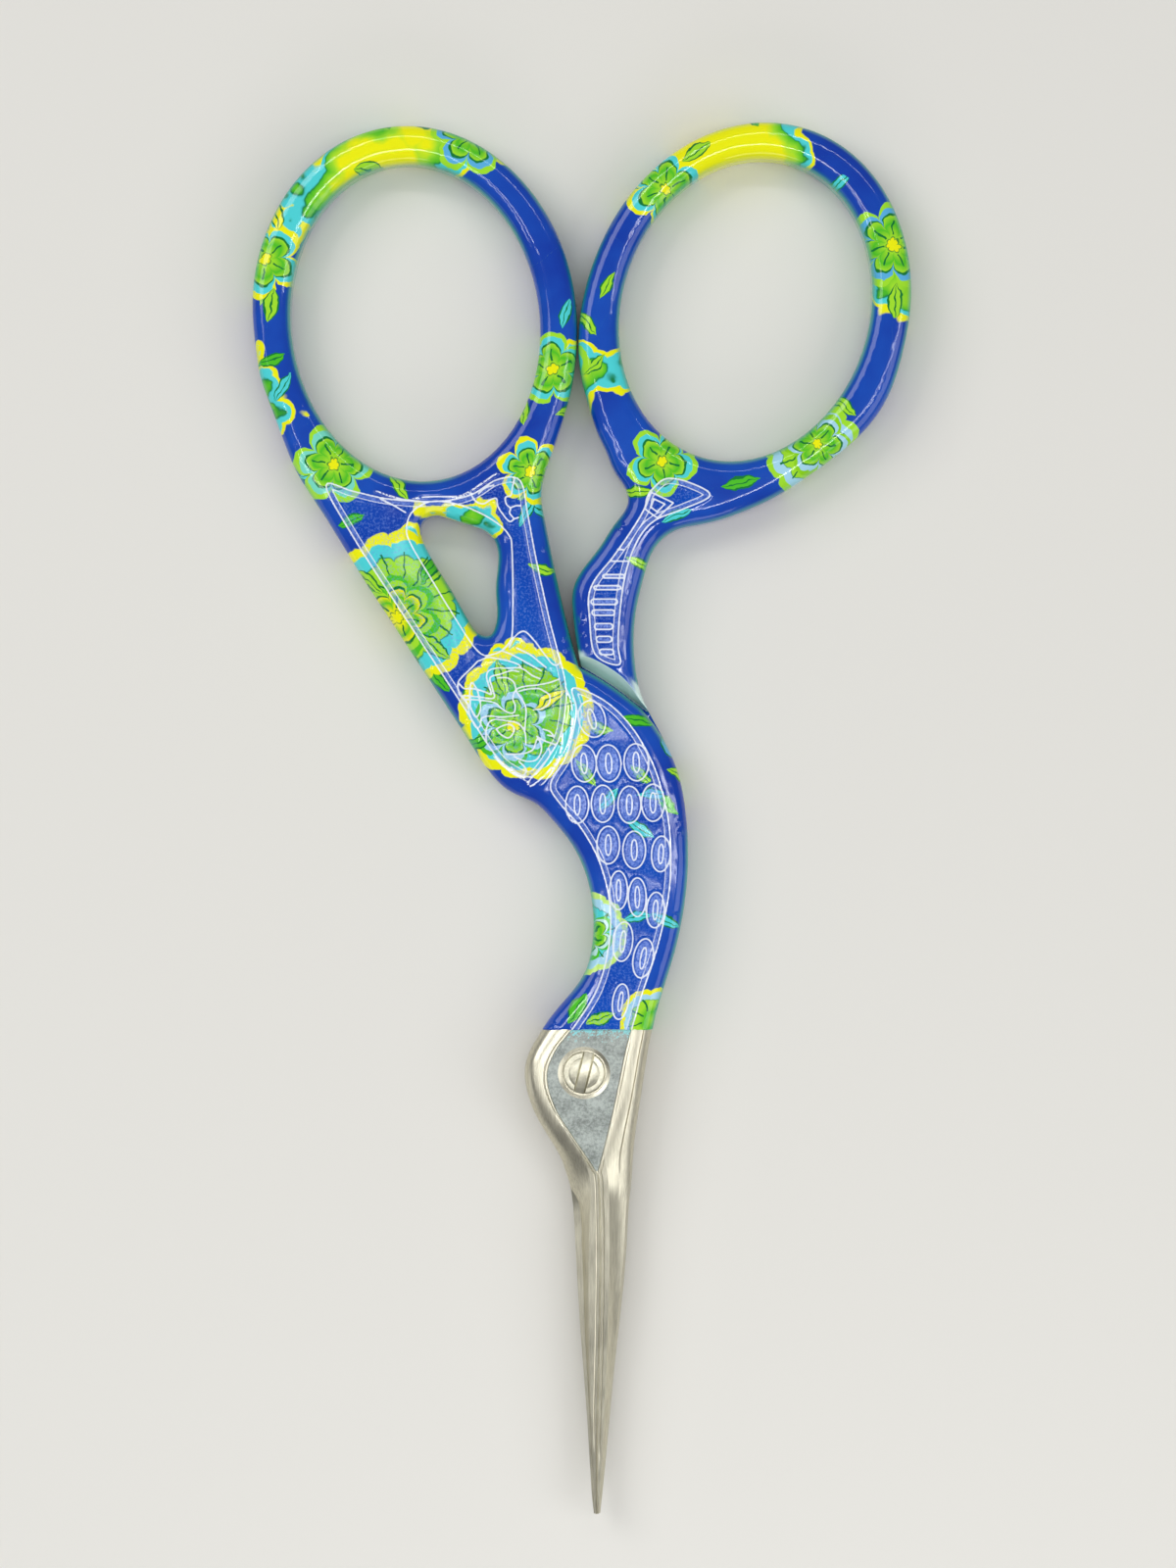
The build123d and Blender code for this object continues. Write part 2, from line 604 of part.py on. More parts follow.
lower_half = lower_half - turned(
    thread_profile(thread_clearance, half_thickness, -half_thickness * 2, thread_root + thread_clearance)
)

# pivot screw: slotted head, smooth shoulder, thread
head_top = half_thickness - head_inset
screw_points = [
    (0, head_top),
    (head_step_radius, head_top),
    (head_step_radius, head_top - head_step_height),
    (head_radius - head_edge, head_top - head_step_height),
    (head_radius, head_top - head_step_height - head_edge),
    (head_radius, head_seat),
    (shoulder_radius, head_seat),
    (shoulder_radius, lap_gap / 2),
]
screw_end = thread_bottom - thread_end_length
screw_points += thread_profile(0, -lap_gap / 2, screw_end, thread_root)[1:]
pivot_screw = turned(screw_points)
slot = Rot(0, 0, -slot_angle) * Pos(0, 0, head_top) * Box(slot_width, head_radius * 4, slot_depth * 2)
pivot_screw = pivot_screw - slot

# the shared origin: middle of the box around all pieces, at the underside
pieces = {"upper_half": upper_half, "lower_half": lower_half, "pivot_screw": pivot_screw}
box = Compound(children=[copy.copy(shape) for shape in pieces.values()]).bounding_box()
shift = Pos(-box.center().X, -box.center().Y, -box.min.Z)
os.makedirs("parts", exist_ok=True)
for name, shape in pieces.items():
    export_step(shift * shape, f"parts/{name}.step")
print("pivot at", -box.center().X, -box.center().Y, -box.min.Z)
print("overall size", box.size.X, box.size.Y, box.size.Z)
for name, shape in pieces.items():
    print(name, "solids", len(shape.solids()), "valid", shape.is_valid, "volume", shape.volume)
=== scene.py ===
"""Stork embroidery scissors: lacquered print over the handles, satin steel head and blades, slotted screw.

Every visible piece stands for one CAD node, or for its coated or bare part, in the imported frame.
Sizes and places are in millimetres in the frame's axes and become metres when a mesh is finished.
"""

import logging
import math
from dataclasses import dataclass
from enum import Enum
from typing import Sequence

import bmesh
import bpy
import numpy as np
from mathutils import Matrix, Vector


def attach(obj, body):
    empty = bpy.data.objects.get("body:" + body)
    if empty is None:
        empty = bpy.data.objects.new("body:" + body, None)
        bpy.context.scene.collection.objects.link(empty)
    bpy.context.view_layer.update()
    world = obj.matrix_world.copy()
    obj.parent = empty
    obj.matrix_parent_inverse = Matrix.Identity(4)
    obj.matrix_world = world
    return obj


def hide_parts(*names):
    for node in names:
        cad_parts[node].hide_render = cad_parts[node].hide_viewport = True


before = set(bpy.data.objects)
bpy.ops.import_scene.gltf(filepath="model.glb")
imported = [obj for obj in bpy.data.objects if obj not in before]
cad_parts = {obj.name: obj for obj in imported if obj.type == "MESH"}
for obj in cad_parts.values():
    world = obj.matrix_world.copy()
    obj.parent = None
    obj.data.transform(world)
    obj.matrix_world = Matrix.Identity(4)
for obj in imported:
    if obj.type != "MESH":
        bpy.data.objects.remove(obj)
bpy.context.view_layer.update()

log = logging.getLogger("scissors")

Point = tuple[float, float]
Colour = tuple[float, float, float, float]
Material = bpy.types.Material
Mesh = bpy.types.Mesh
Node = bpy.types.Node
Object = bpy.types.Object
Tree = bpy.types.NodeTree

MM = 0.001
LAP_PLANE = 2.3
FACE_HEIGHT = 2.3
TOP = LAP_PLANE + FACE_HEIGHT
LAP_GAP = 0.03
COAT_END = -17.4
PIVOT = (0.18, -20.918)
PANEL_FLOOR = 0.18
MERGE = 0.0005
ROUND_STEPS = 96

# engraved panels, feather lines, ribs and scales, in mm
TAIL_PANEL = (
    (-5.08, 27.81), (-4.44, 24.96), (-3.71, 21.08), (-2.61, 16.13), (-1.4, 11.44), (-1.36, 9.18),
    (-1.76, 6.9), (-2.49, 5.45), (-4.03, 3.51), (-5.73, 4.02), (-7.27, 5.45), (-9.7, 9.18),
    (-12.45, 13.38), (-15.69, 18.33), (-18.85, 23.26), (-21.04, 27.39), (-18.77, 26.91), (-15.69, 26.26),
    (-11.81, 26.1), (-9.13, 26.63), (-6.94, 27.89),
)
BODY_PANEL = (
    (-0.71, 10.75), (-0.46, 9.18), (-0.63, 7.55), (-1.28, 5.12), (-2.57, 2.85), (-1.84, 1.31),
    (0.02, -0.88), (1.48, -3.62), (2.29, -6.87), (2.25, -10.27), (1.31, -13.92), (-0.55, -16.99),
    (-2.25, -19.18), (-2.9, -21.29), (-2.17, -23.88), (-0.71, -26.22), (0.51, -28.0), (1.28, -29.22),
    (1.64, -27.92), (2.25, -25.5), (2.94, -22.42), (3.58, -19.26), (4.8, -14.88), (6.18, -10.67),
    (7.11, -6.46), (7.31, -2.82), (6.99, 0.58), (5.85, 4.47), (3.99, 7.67), (1.8, 9.74),
)
BACK_PANEL = (
    (1.31, 9.98), (1.36, 7.71), (0.55, 3.99), (-1.36, 0.91), (0.1, -0.88), (1.6, -3.62), (2.45, -6.87),
    (2.41, -10.27), (1.48, -14.08), (-0.3, -17.07), (-2.09, -19.18), (-2.73, -21.29), (-2.04, -23.88),
    (-0.58, -26.22), (0.58, -28.0), (1.28, -29.22), (1.64, -27.92), (2.25, -25.5), (2.94, -22.42),
    (3.58, -19.26), (4.8, -14.88), (6.1, -10.67), (6.99, -6.46), (7.23, -2.82), (6.91, 0.58), (5.77, 4.47),
    (3.99, 7.63),
)
LEG_PANEL = (
    (1.07, 13.55), (0.63, 16.63), (0.58, 18.41), (1.16, 19.78), (2.53, 21.48), (4.07, 23.67),
    (5.12, 25.45), (5.37, 26.43), (5.85, 27.15), (6.99, 27.97), (8.85, 27.64), (10.55, 26.59),
    (8.28, 25.45), (6.18, 24.64), (4.96, 23.5), (4.03, 21.64), (3.42, 19.3), (3.06, 16.21), (2.98, 14.19),
    (3.06, 12.66),
)
HOLE_RIM = (
    (-14.42, 23.84), (-14.03, 25.13), (-12.94, 25.92), (-11.64, 26.1), (-9.7, 25.7), (-7.52, 24.68),
    (-6.06, 23.42), (-5.73, 21.88), (-5.69, 15.81), (-6.06, 14.35), (-7.19, 13.55), (-8.57, 13.79),
    (-10.8, 17.12), (-12.46, 19.86), (-14.08, 22.62),
)
FEATHER_LINES = (
    (
        (-16.91, 26.94), (-15.77, 26.55), (-14.4, 26.21), (-13.51, 26.38), (-12.37, 26.49),
        (-11.24, 26.49), (-9.97, 26.55), (-8.97, 27.06), (-8.48, 27.4), (-6.99, 28.42),
    ),
    ((-16.58, 26.3), (-15.55, 25.8), (-14.5, 25.18)),
    (
        (-8.53, 12.98), (-9.21, 12.28), (-9.9, 11.6), (-10.19, 11.12), (-10.1, 10.31), (-9.7, 9.82),
        (-9.41, 9.43), (-9.21, 8.55), (-8.82, 7.66), (-8.53, 7.47), (-8.32, 7.76), (-8.24, 8.26),
        (-7.54, 8.44), (-6.56, 8.36), (-5.19, 8.5),
    ),
    ((-8.43, 12.98), (-7.76, 13.26), (-6.95, 13.16), (-6.07, 12.98), (-5.19, 12.67), (-5.0, 12.38)),
    (
        (-10.1, 11.12), (-9.7, 10.71), (-9.21, 10.71), (-8.62, 10.63), (-7.93, 10.41), (-7.45, 10.22),
        (-7.55, 10.63), (-7.64, 10.9), (-7.84, 11.68), (-7.64, 12.18), (-6.95, 12.38), (-6.07, 12.38),
        (-5.19, 12.41), (-4.6, 12.18), (-4.11, 11.79), (-3.42, 11.5),
    ),
    (
        (-9.7, 10.12), (-8.53, 10.02), (-7.25, 9.92), (-7.35, 10.71), (-7.54, 11.6), (-6.76, 11.88),
        (-5.78, 12.18), (-5.19, 12.09),
    ),
    (
        (-9.51, 9.82), (-8.32, 9.74), (-7.15, 9.53), (-6.56, 9.04), (-6.07, 8.74), (-5.58, 8.74),
        (-5.49, 9.33), (-5.68, 9.92), (-5.38, 10.63), (-4.6, 10.9), (-3.62, 11.0), (-2.64, 11.2),
        (-1.84, 11.5),
    ),
    (
        (-5.19, 10.47), (-4.6, 10.63), (-3.62, 10.71), (-3.14, 10.51), (-2.64, 10.12), (-2.73, 9.43),
        (-3.32, 9.04), (-4.01, 8.94),
    ),
    (
        (-7.84, 6.39), (-7.89, 7.12), (-7.64, 7.91), (-7.1, 8.16), (-6.17, 8.05), (-5.24, 7.84),
        (-4.69, 7.12), (-4.6, 6.09),
    ),
    (
        (-7.05, 7.37), (-6.66, 6.93), (-6.07, 6.64), (-5.68, 6.98), (-5.58, 7.47), (-5.97, 7.76),
        (-6.56, 7.62), (-7.05, 7.37),
    ),
    (
        (-4.69, 7.27), (-4.6, 9.04), (-4.99, 9.92), (-5.38, 10.46), (-5.58, 11.2), (-6.17, 11.59),
        (-6.95, 11.57),
    ),
    (
        (-5.97, 14.1), (-5.58, 14.88), (-4.8, 15.42), (-4.01, 14.78), (-3.12, 13.6), (-2.34, 12.67),
        (-1.8, 12.87), (-2.05, 13.85),
    ),
    ((-6.56, 13.8), (-5.78, 13.5), (-4.6, 12.87), (-3.32, 12.16)),
    ((-5.38, 14.05), (-4.21, 13.46), (-2.93, 12.43)),
    (
        (-9.21, 9.83), (-9.07, 8.94), (-8.67, 8.35), (-8.33, 9.04), (-8.43, 9.92), (-8.67, 10.71),
        (-9.07, 11.2), (-9.21, 10.51), (-9.21, 9.83),
    ),
    (
        (-6.27, 5.31), (-5.38, 5.31), (-4.6, 5.4), (-4.01, 5.7), (-3.81, 6.19), (-3.62, 6.58),
        (-3.32, 6.0), (-3.42, 5.31), (-3.81, 4.81), (-4.5, 4.72), (-5.19, 4.92), (-5.58, 5.12),
    ),
    ((-5.78, 4.23), (-5.38, 3.74), (-4.9, 3.54), (-4.6, 3.83), (-4.69, 4.23), (-5.19, 4.72)),
    ((-3.22, 7.37), (-2.64, 7.17), (-2.34, 6.78), (-2.83, 6.88)),
    ((-3.71, 6.78), (-3.03, 6.39), (-2.14, 6.09)),
    ((-2.73, 5.8), (-2.64, 5.2), (-3.32, 4.33), (-3.91, 3.64), (-4.4, 2.95)),
    (
        (-7.25, 5.12), (-6.56, 4.42), (-5.58, 3.64), (-4.6, 3.15), (-4.3, 2.66), (-3.62, 3.05),
        (-2.83, 3.83), (-2.05, 4.81), (-1.66, 6.0), (-1.56, 7.47),
    ),
    (
        (-1.36, 10.81), (-0.97, 9.92), (-0.77, 8.74), (-0.87, 7.47), (-1.16, 6.19), (-1.84, 4.81),
        (-2.64, 3.54), (-3.32, 2.76),
    ),
    (
        (-9.18, 26.94), (-8.95, 26.38), (-8.61, 26.03), (-8.05, 25.91), (-7.47, 26.26), (-7.02, 26.32),
        (-6.91, 25.7), (-6.46, 25.01), (-5.94, 24.44), (-5.54, 24.67), (-5.2, 24.78),
    ),
    (
        (-5.54, 27.96), (-5.71, 27.28), (-5.83, 26.6), (-6.28, 26.43), (-6.22, 25.91), (-5.88, 25.52),
        (-5.94, 25.13), (-5.54, 24.67),
    ),
    ((-5.88, 25.57), (-5.43, 25.74), (-5.09, 25.74)),
    ((-8.5, 26.72), (-7.99, 27.17), (-7.25, 27.45)),
)
LEG_KITE = ((5.71, 26.85), (7.53, 25.98), (6.21, 24.74), (5.18, 25.48))
# left, right, height and half width of each rib
LEG_RIBS = (
    (2.94, 3.42, 22.13, 0.0), (2.37, 3.75, 21.18, 0.0), (1.72, 3.5, 19.94, 0.14), (0.99, 3.18, 19.0, 0.16),
    (0.75, 2.94, 17.84, 0.22), (0.83, 2.69, 16.95, 0.22), (1.03, 2.53, 15.81, 0.24),
    (1.19, 2.45, 14.76, 0.24), (1.44, 2.61, 13.71, 0.22),
)
# middle, half width, half length and lean of each scale
SCALES = (
    (0.83, 8.2, 1.09, 1.52, 15), (0.18, 4.55, 1.01, 1.52, 3), (2.21, 4.55, 1.01, 1.52, 3),
    (4.48, 4.64, 1.01, 1.52, 3), (-0.38, 1.15, 0.94, 1.52, 0), (1.72, 1.23, 0.94, 1.52, 0),
    (3.91, 1.15, 0.94, 1.52, 0), (5.85, 1.31, 0.94, 1.52, 0), (2.17, -2.17, 0.93, 1.54, 0),
    (4.31, -2.57, 0.93, 1.54, 0), (6.5, -2.9, 0.77, 1.46, -3), (3.02, -5.89, 0.73, 1.59, 0),
    (4.56, -6.46, 0.73, 1.59, 0), (6.05, -7.51, 0.73, 1.46, -4), (3.37, -10.11, 0.81, 1.62, -6),
    (5.04, -11.48, 0.81, 1.62, -10), (3.18, -15.05, 0.65, 1.46, -8),
)
# the sloped shoulder below the leg, where the film is pale mint and is painted near white as a highlight
SHOULDER = ((-0.1, 12.9), (0.7, 12.6), (1.6, 12.1), (2.7, 11.4), (3.4, 10.95), (4.1, 10.3), (4.8, 9.5))


class Face(Enum):
    """The face of the scissors that a relief is engraved in."""

    FRONT = 1
    BACK = -1


class Ink(str, Enum):
    """The print's inks, as sRGB hex values."""

    AQUA = "4FD8DC"
    YELLOW = "F4F502"
    LIME = "A4E52D"
    GREEN = "4EC424"
    LINE = "0B7A35"
    ICE = "A9DCF2"
    SKY = "5BB3E6"
    GRASS = "8FD614"
    JADE = "7CE0C8"
    FOAM = "C1EEEA"
    SPRING = "C8F07A"


def linear(hex_colour: str) -> Colour:
    """Turn six sRGB hex digits into linear red, green and blue, with an alpha of one."""
    values = [int(hex_colour[start : start + 2], 16) / 255 for start in (0, 2, 4)]
    return (*(v / 12.92 if v <= 0.04045 else ((v + 0.055) / 1.055) ** 2.4 for v in values), 1.0)


def clear(hex_colour: str) -> Colour:
    """A colour that lets all of the colour below through."""
    return linear(hex_colour)[:3] + (0.0,)


def opaque(*stops: tuple[float, str]) -> list[tuple[float, Colour]]:
    """Colour stops that hide the colour below."""
    return [(position, linear(ink)) for position, ink in stops]


def smooth_step(value: np.ndarray) -> np.ndarray:
    """Ease values from 0 to 1 without corners."""
    held = np.clip(value, 0.0, 1.0)
    return held * held * (3.0 - 2.0 * held)


def rounded_line(points: Sequence[Point], closed: bool, steps: int = 6) -> np.ndarray:
    """Round a traced line through its points.

    Args:
        points: Traced points in mm.
        closed: Whether the line returns to its first point.
        steps: Pieces that each stretch is divided into.

    Returns:
        Points of a Catmull-Rom line, one row each.
    """
    traced = np.array(points, float)
    if closed:
        padded = np.vstack([traced[-1:], traced, traced[:2]])
    else:
        padded = np.vstack([2 * traced[:1] - traced[1:2], traced, 2 * traced[-1:] - traced[-2:-1]])
    made = []
    for first, second, third, fourth in zip(padded, padded[1:], padded[2:], padded[3:]):
        for step in range(steps):
            t = step / steps
            pull = (third - first) * t
            bend = (2 * first - 5 * second + 4 * third - fourth) * t * t
            twist = (3 * second - first - 3 * third + fourth) * t * t * t
            made.append(0.5 * (2 * second + pull + bend + twist))
    made.append(made[0] if closed else traced[-1])
    return np.array(made)


@dataclass
class Relief:
    """Height map of the engraving on one face, on a fine grid of cells.

    The face beside a panel is the zero level. Floors lie below it, rims and feather lines stand up.
    """

    low: Point = (-24.0, -19.0)
    high: Point = (17.0, 34.0)
    cell: float = 0.05
    line_width: float = 0.13
    line_height: float = 0.07
    rim_height: float = 0.045
    floor_depth: float = 0.12
    floor_ramp: float = 0.3
    second_line: float = 0.42
    frost_edge: float = 0.1

    def __post_init__(self) -> None:
        """Lay out the empty grids of floor depth, raised height, bright crests and frosting."""
        self.xs, self.ys = (
            start + np.arange(round((end - start) / self.cell) + 1) * self.cell
            for start, end in zip(self.low, self.high)
        )
        self.floor, self.raised, self.crest, self.frost = np.zeros((4, len(self.ys), len(self.xs)))

    def window(self, low: Sequence[float], high: Sequence[float]) -> tuple[slice, slice]:
        """Find a part of the grid.

        Args:
            low: Lower left corner in mm.
            high: Upper right corner in mm.

        Returns:
            The rows and the columns between the corners.
        """
        spans = []
        for axis, cells in enumerate((self.xs, self.ys)):
            first = int((low[axis] - self.low[axis]) / self.cell)
            last = int((high[axis] - self.low[axis]) / self.cell) + 2
            spans.append(slice(*(min(max(place, 0), len(cells)) for place in (first, last))))
        return spans[1], spans[0]

    def distance(self, line: np.ndarray, reach: float) -> np.ndarray:
        """Distance of each cell to a line, as far as reach.

        Args:
            line: Points along the line, in mm.
            reach: Greatest distance that is worked out, in mm.

        Returns:
            A grid of distances, with reach where the line is further off.
        """
        found = np.full(self.floor.shape, reach)
        for start, end in zip(line, line[1:]):
            rows, columns = self.window(np.minimum(start, end) - reach, np.maximum(start, end) + reach)
            gx = self.xs[columns][None, :] - start[0]
            gy = self.ys[rows][:, None] - start[1]
            way = end - start
            share = np.clip((gx * way[0] + gy * way[1]) / max(float(way @ way), 1e-9), 0.0, 1.0)
            gap = np.hypot(gx - share * way[0], gy - share * way[1])
            found[rows, columns] = np.minimum(found[rows, columns], gap)
        return found

    def inside(self, line: np.ndarray) -> np.ndarray:
        """Find the cells that a closed line goes round.

        Args:
            line: Points along the line, in mm, the first one again at the end.

        Returns:
            A grid that is true inside the line.
        """
        held = np.zeros(self.floor.shape, bool)
        gx, gy = np.meshgrid(self.xs, self.ys)
        for start, end in zip(line, line[1:]):
            if start[1] == end[1]:
                continue
            between = (gy >= min(start[1], end[1])) & (gy < max(start[1], end[1]))
            crossing = start[0] + (gy - start[1]) * (end[0] - start[0]) / (end[1] - start[1])
            held ^= between & (gx < crossing)
        return held

    def soft(self, gap: np.ndarray) -> np.ndarray:
        """Shape of a rounded line from distances to it: 1 on the line."""
        return np.exp(-((gap / self.line_width) ** 2))

    def stand(self, shape: np.ndarray, height: float, mark: float) -> None:
        """Raise a shape of values from 0 to 1, and mark its crest."""
        self.raised = np.maximum(self.raised, shape * height)
        self.crest = np.maximum(self.crest, shape * mark)

    def add_panel(self, outline: Sequence[Point], island: Sequence[Point] = ()) -> None:
        """Sink a panel with a raised rim and a finer line inside it.

        Args:
            outline: Traced outline of the panel, closed.
            island: Outline inside the panel that keeps the face's own height.
        """
        for points in filter(len, (outline, island)):
            line = rounded_line(points, True)
            gap = self.distance(line, 0.9)
            held = self.inside(line)
            depth = smooth_step(gap / self.floor_ramp) * self.floor_depth
            if points is island:
                self.floor = np.where(held, 0.0, np.minimum(self.floor, depth))
            else:
                self.floor = np.maximum(self.floor, np.where(held, depth, 0.0))
                within = np.where(held, gap, -gap)
                self.stand(self.soft(within - self.second_line), self.line_height * 0.6, 0.88)
                outer = smooth_step(within / self.frost_edge)
                inner = smooth_step((self.second_line - within) / self.frost_edge)
                self.frost = np.maximum(self.frost, 0.7 * (outer * inner))
            self.stand(self.soft(gap), self.rim_height, 1.0)

    def add_line(self, points: np.ndarray) -> None:
        """Raise a line of full height along its points."""
        self.stand(self.soft(self.distance(points, 0.5)), self.line_height, 1.0)

    def add_rib(self, left: float, right: float, y: float, half: float) -> None:
        """Raise one rib across the leg panel: a long loop, or a plain line where half its height is 0.

        Args:
            left: Left end in mm.
            right: Right end in mm.
            y: Middle, towards the rings.
            half: Half of the loop's height.
        """
        gap = self.distance(np.array([(left + half, y), (right - half, y)]), 0.7)
        self.stand(self.soft(gap - half), self.line_height, 1.0)
        if half:
            self.frost = np.maximum(self.frost, smooth_step((half - gap) / self.frost_edge))

    def oval(self, gx: np.ndarray, gy: np.ndarray, half_width: float, half_length: float) -> np.ndarray:
        """Distance outside an oval about the origin.

        Args:
            gx: Places across the oval.
            gy: Places along the oval.
            half_width: Half of its width.
            half_length: Half of its length.

        Returns:
            The distances, below zero inside the oval.
        """
        way = np.maximum(np.hypot(gx / half_width, gy / half_length), 0.02)
        steepness = np.hypot(gx / half_width**2, gy / half_length**2) / way
        return (way - 1.0) / np.maximum(steepness, 0.02)

    def add_scale(self, x: float, y: float, half_width: float, half_length: float, lean: float) -> None:
        """Raise one feather scale: a closed rim round a frosted dome with a slit.

        Args:
            x: Middle, to the right.
            y: Middle, towards the rings.
            half_width: Half of the width.
            half_length: Half of the length.
            lean: Turn to the left, in degrees.
        """
        low = (x - half_length - 0.4, y - half_length - 0.4)
        rows, columns = self.window(low, (x + half_length + 0.4, y + half_length + 0.4))
        gx = self.xs[columns][None, :] - x
        gy = self.ys[rows][:, None] - y
        turn = math.radians(lean)
        across = gx * math.cos(turn) + gy * math.sin(turn)
        length = gy * math.cos(turn) - gx * math.sin(turn)
        gap = self.oval(across, length, half_width, half_length)
        rim = self.soft(gap)
        seam = self.soft(self.oval(across, length, 0.25 * half_width, 0.55 * half_length))
        dome = smooth_step(-gap / (0.6 * half_width))
        for grid, patch in (
            (self.raised, (np.maximum(rim, 0.5 * dome) + 0.6 * seam) * self.line_height),
            (self.crest, np.maximum(rim, seam)),
            (self.frost, smooth_step(-(gap + 0.1) / 0.2)),
        ):
            grid[rows, columns] = np.maximum(grid[rows, columns], patch)

    def sample(self, x: np.ndarray, y: np.ndarray) -> list[np.ndarray]:
        """Read the grids between their cells.

        Args:
            x: Places to the right, in mm.
            y: Places towards the rings, in mm.

        Returns:
            Floor, raised height, crest and frosting at each place, and zero outside the grid.
        """
        column = (x - self.low[0]) / self.cell
        row = (y - self.low[1]) / self.cell
        known = (column >= 0) & (row >= 0) & (column < len(self.xs) - 1) & (row < len(self.ys) - 1)
        column = np.clip(column, 0, len(self.xs) - 1.001)
        row = np.clip(row, 0, len(self.ys) - 1.001)
        left = column.astype(int)
        below = row.astype(int)
        fx = column - left
        fy = row - below
        read = []
        for grid in (self.floor, self.raised, self.crest, self.frost):
            low = grid[below, left] * (1 - fx) + grid[below, left + 1] * fx
            high = grid[below + 1, left] * (1 - fx) + grid[below + 1, left + 1] * fx
            read.append(np.where(known, low * (1 - fy) + high * fy, 0.0))
        return read


def tail_relief() -> Relief:
    """Engrave the tail panel: hole rim, feather fan, wing arcs and the foot by the ring.

    Returns:
        The relief.
    """
    relief = Relief()
    relief.add_panel(TAIL_PANEL, HOLE_RIM)
    for line in FEATHER_LINES:
        relief.add_line(rounded_line(line, False))
    return relief


def body_relief(outline: Sequence[Point], relief: Relief) -> Relief:
    """Engrave the body panel with its scales.

    Args:
        outline: Outline of the panel.
        relief: Relief that it is added to.

    Returns:
        The same relief.
    """
    relief.add_panel(outline)
    for scale in SCALES:
        relief.add_scale(*scale)
    return relief


def leg_relief() -> Relief:
    """Engrave the leg panel with its ribs and the kite under the ring.

    Returns:
        The relief.
    """
    relief = Relief()
    relief.add_panel(LEG_PANEL)
    for rib in LEG_RIBS:
        relief.add_rib(*rib)
    kite = np.array(LEG_KITE + LEG_KITE[:1])
    middle = np.mean(kite[:-1], axis=0)
    for size in (1.0, 0.5):
        relief.add_line(middle + (kite - middle) * size)
    return relief


def node(
    tree: Tree,
    kind: str,
    inputs: dict[str | int, object] | Sequence[object] = (),
    stops: Sequence[tuple[float, Colour]] = (),
    **settings: object,
) -> Node:
    """Add a shader node with its settings, links and colour stops.

    Args:
        tree: Node tree of the material.
        kind: Blender's name of the node type, without ShaderNode.
        inputs: Values, sockets or nodes, by input name or number, or in the order of the inputs.
        stops: Position and linear colour of each stop of a colour ramp, in rising order.
        **settings: Properties of the node.

    Returns:
        The new node. As an input, a node gives its first output that is in use.
    """
    made = tree.nodes.new(f"ShaderNode{kind}")
    for name, value in settings.items():
        setattr(made, name, value)
    for name, value in (inputs if isinstance(inputs, dict) else dict(enumerate(inputs))).items():
        if isinstance(value, Node):
            value = next(output for output in value.outputs if output.enabled)
        if isinstance(value, bpy.types.NodeSocket):
            tree.links.new(value, made.inputs[name])
        else:
            made.inputs[name].default_value = value
    if stops:
        elements = made.color_ramp.elements
        while len(elements) < len(stops):
            elements.new(1.0)
        for element, (position, colour) in zip(elements, stops):
            element.position = position
            element.color = colour
    return made


def millimetres(tree: Tree, stretch: Sequence[float] = (1, 1, 1)) -> Node:
    """Object coordinates in millimetres, stretched along the axes."""
    scaled = tuple(1000.0 * share for share in stretch)
    return node(tree, "VectorMath", (node(tree, "TexCoord").outputs["Object"], scaled), operation="MULTIPLY")


@dataclass(frozen=True)
class Finish:
    """A surface finish, made as one material."""

    name: str

    def sockets(self, tree: Tree) -> dict[str, object]:
        """Values and nodes for the sockets of the surface shader."""
        raise NotImplementedError

    def make(self) -> Material:
        """Build the material.

        Returns:
            The material, with the finish's own nodes.
        """
        material = bpy.data.materials.new(self.name)
        material.use_nodes = True
        tree = material.node_tree
        tree.nodes.clear()
        node(tree, "OutputMaterial", {"Surface": node(tree, "BsdfPrincipled", self.sockets(tree))})
        return material


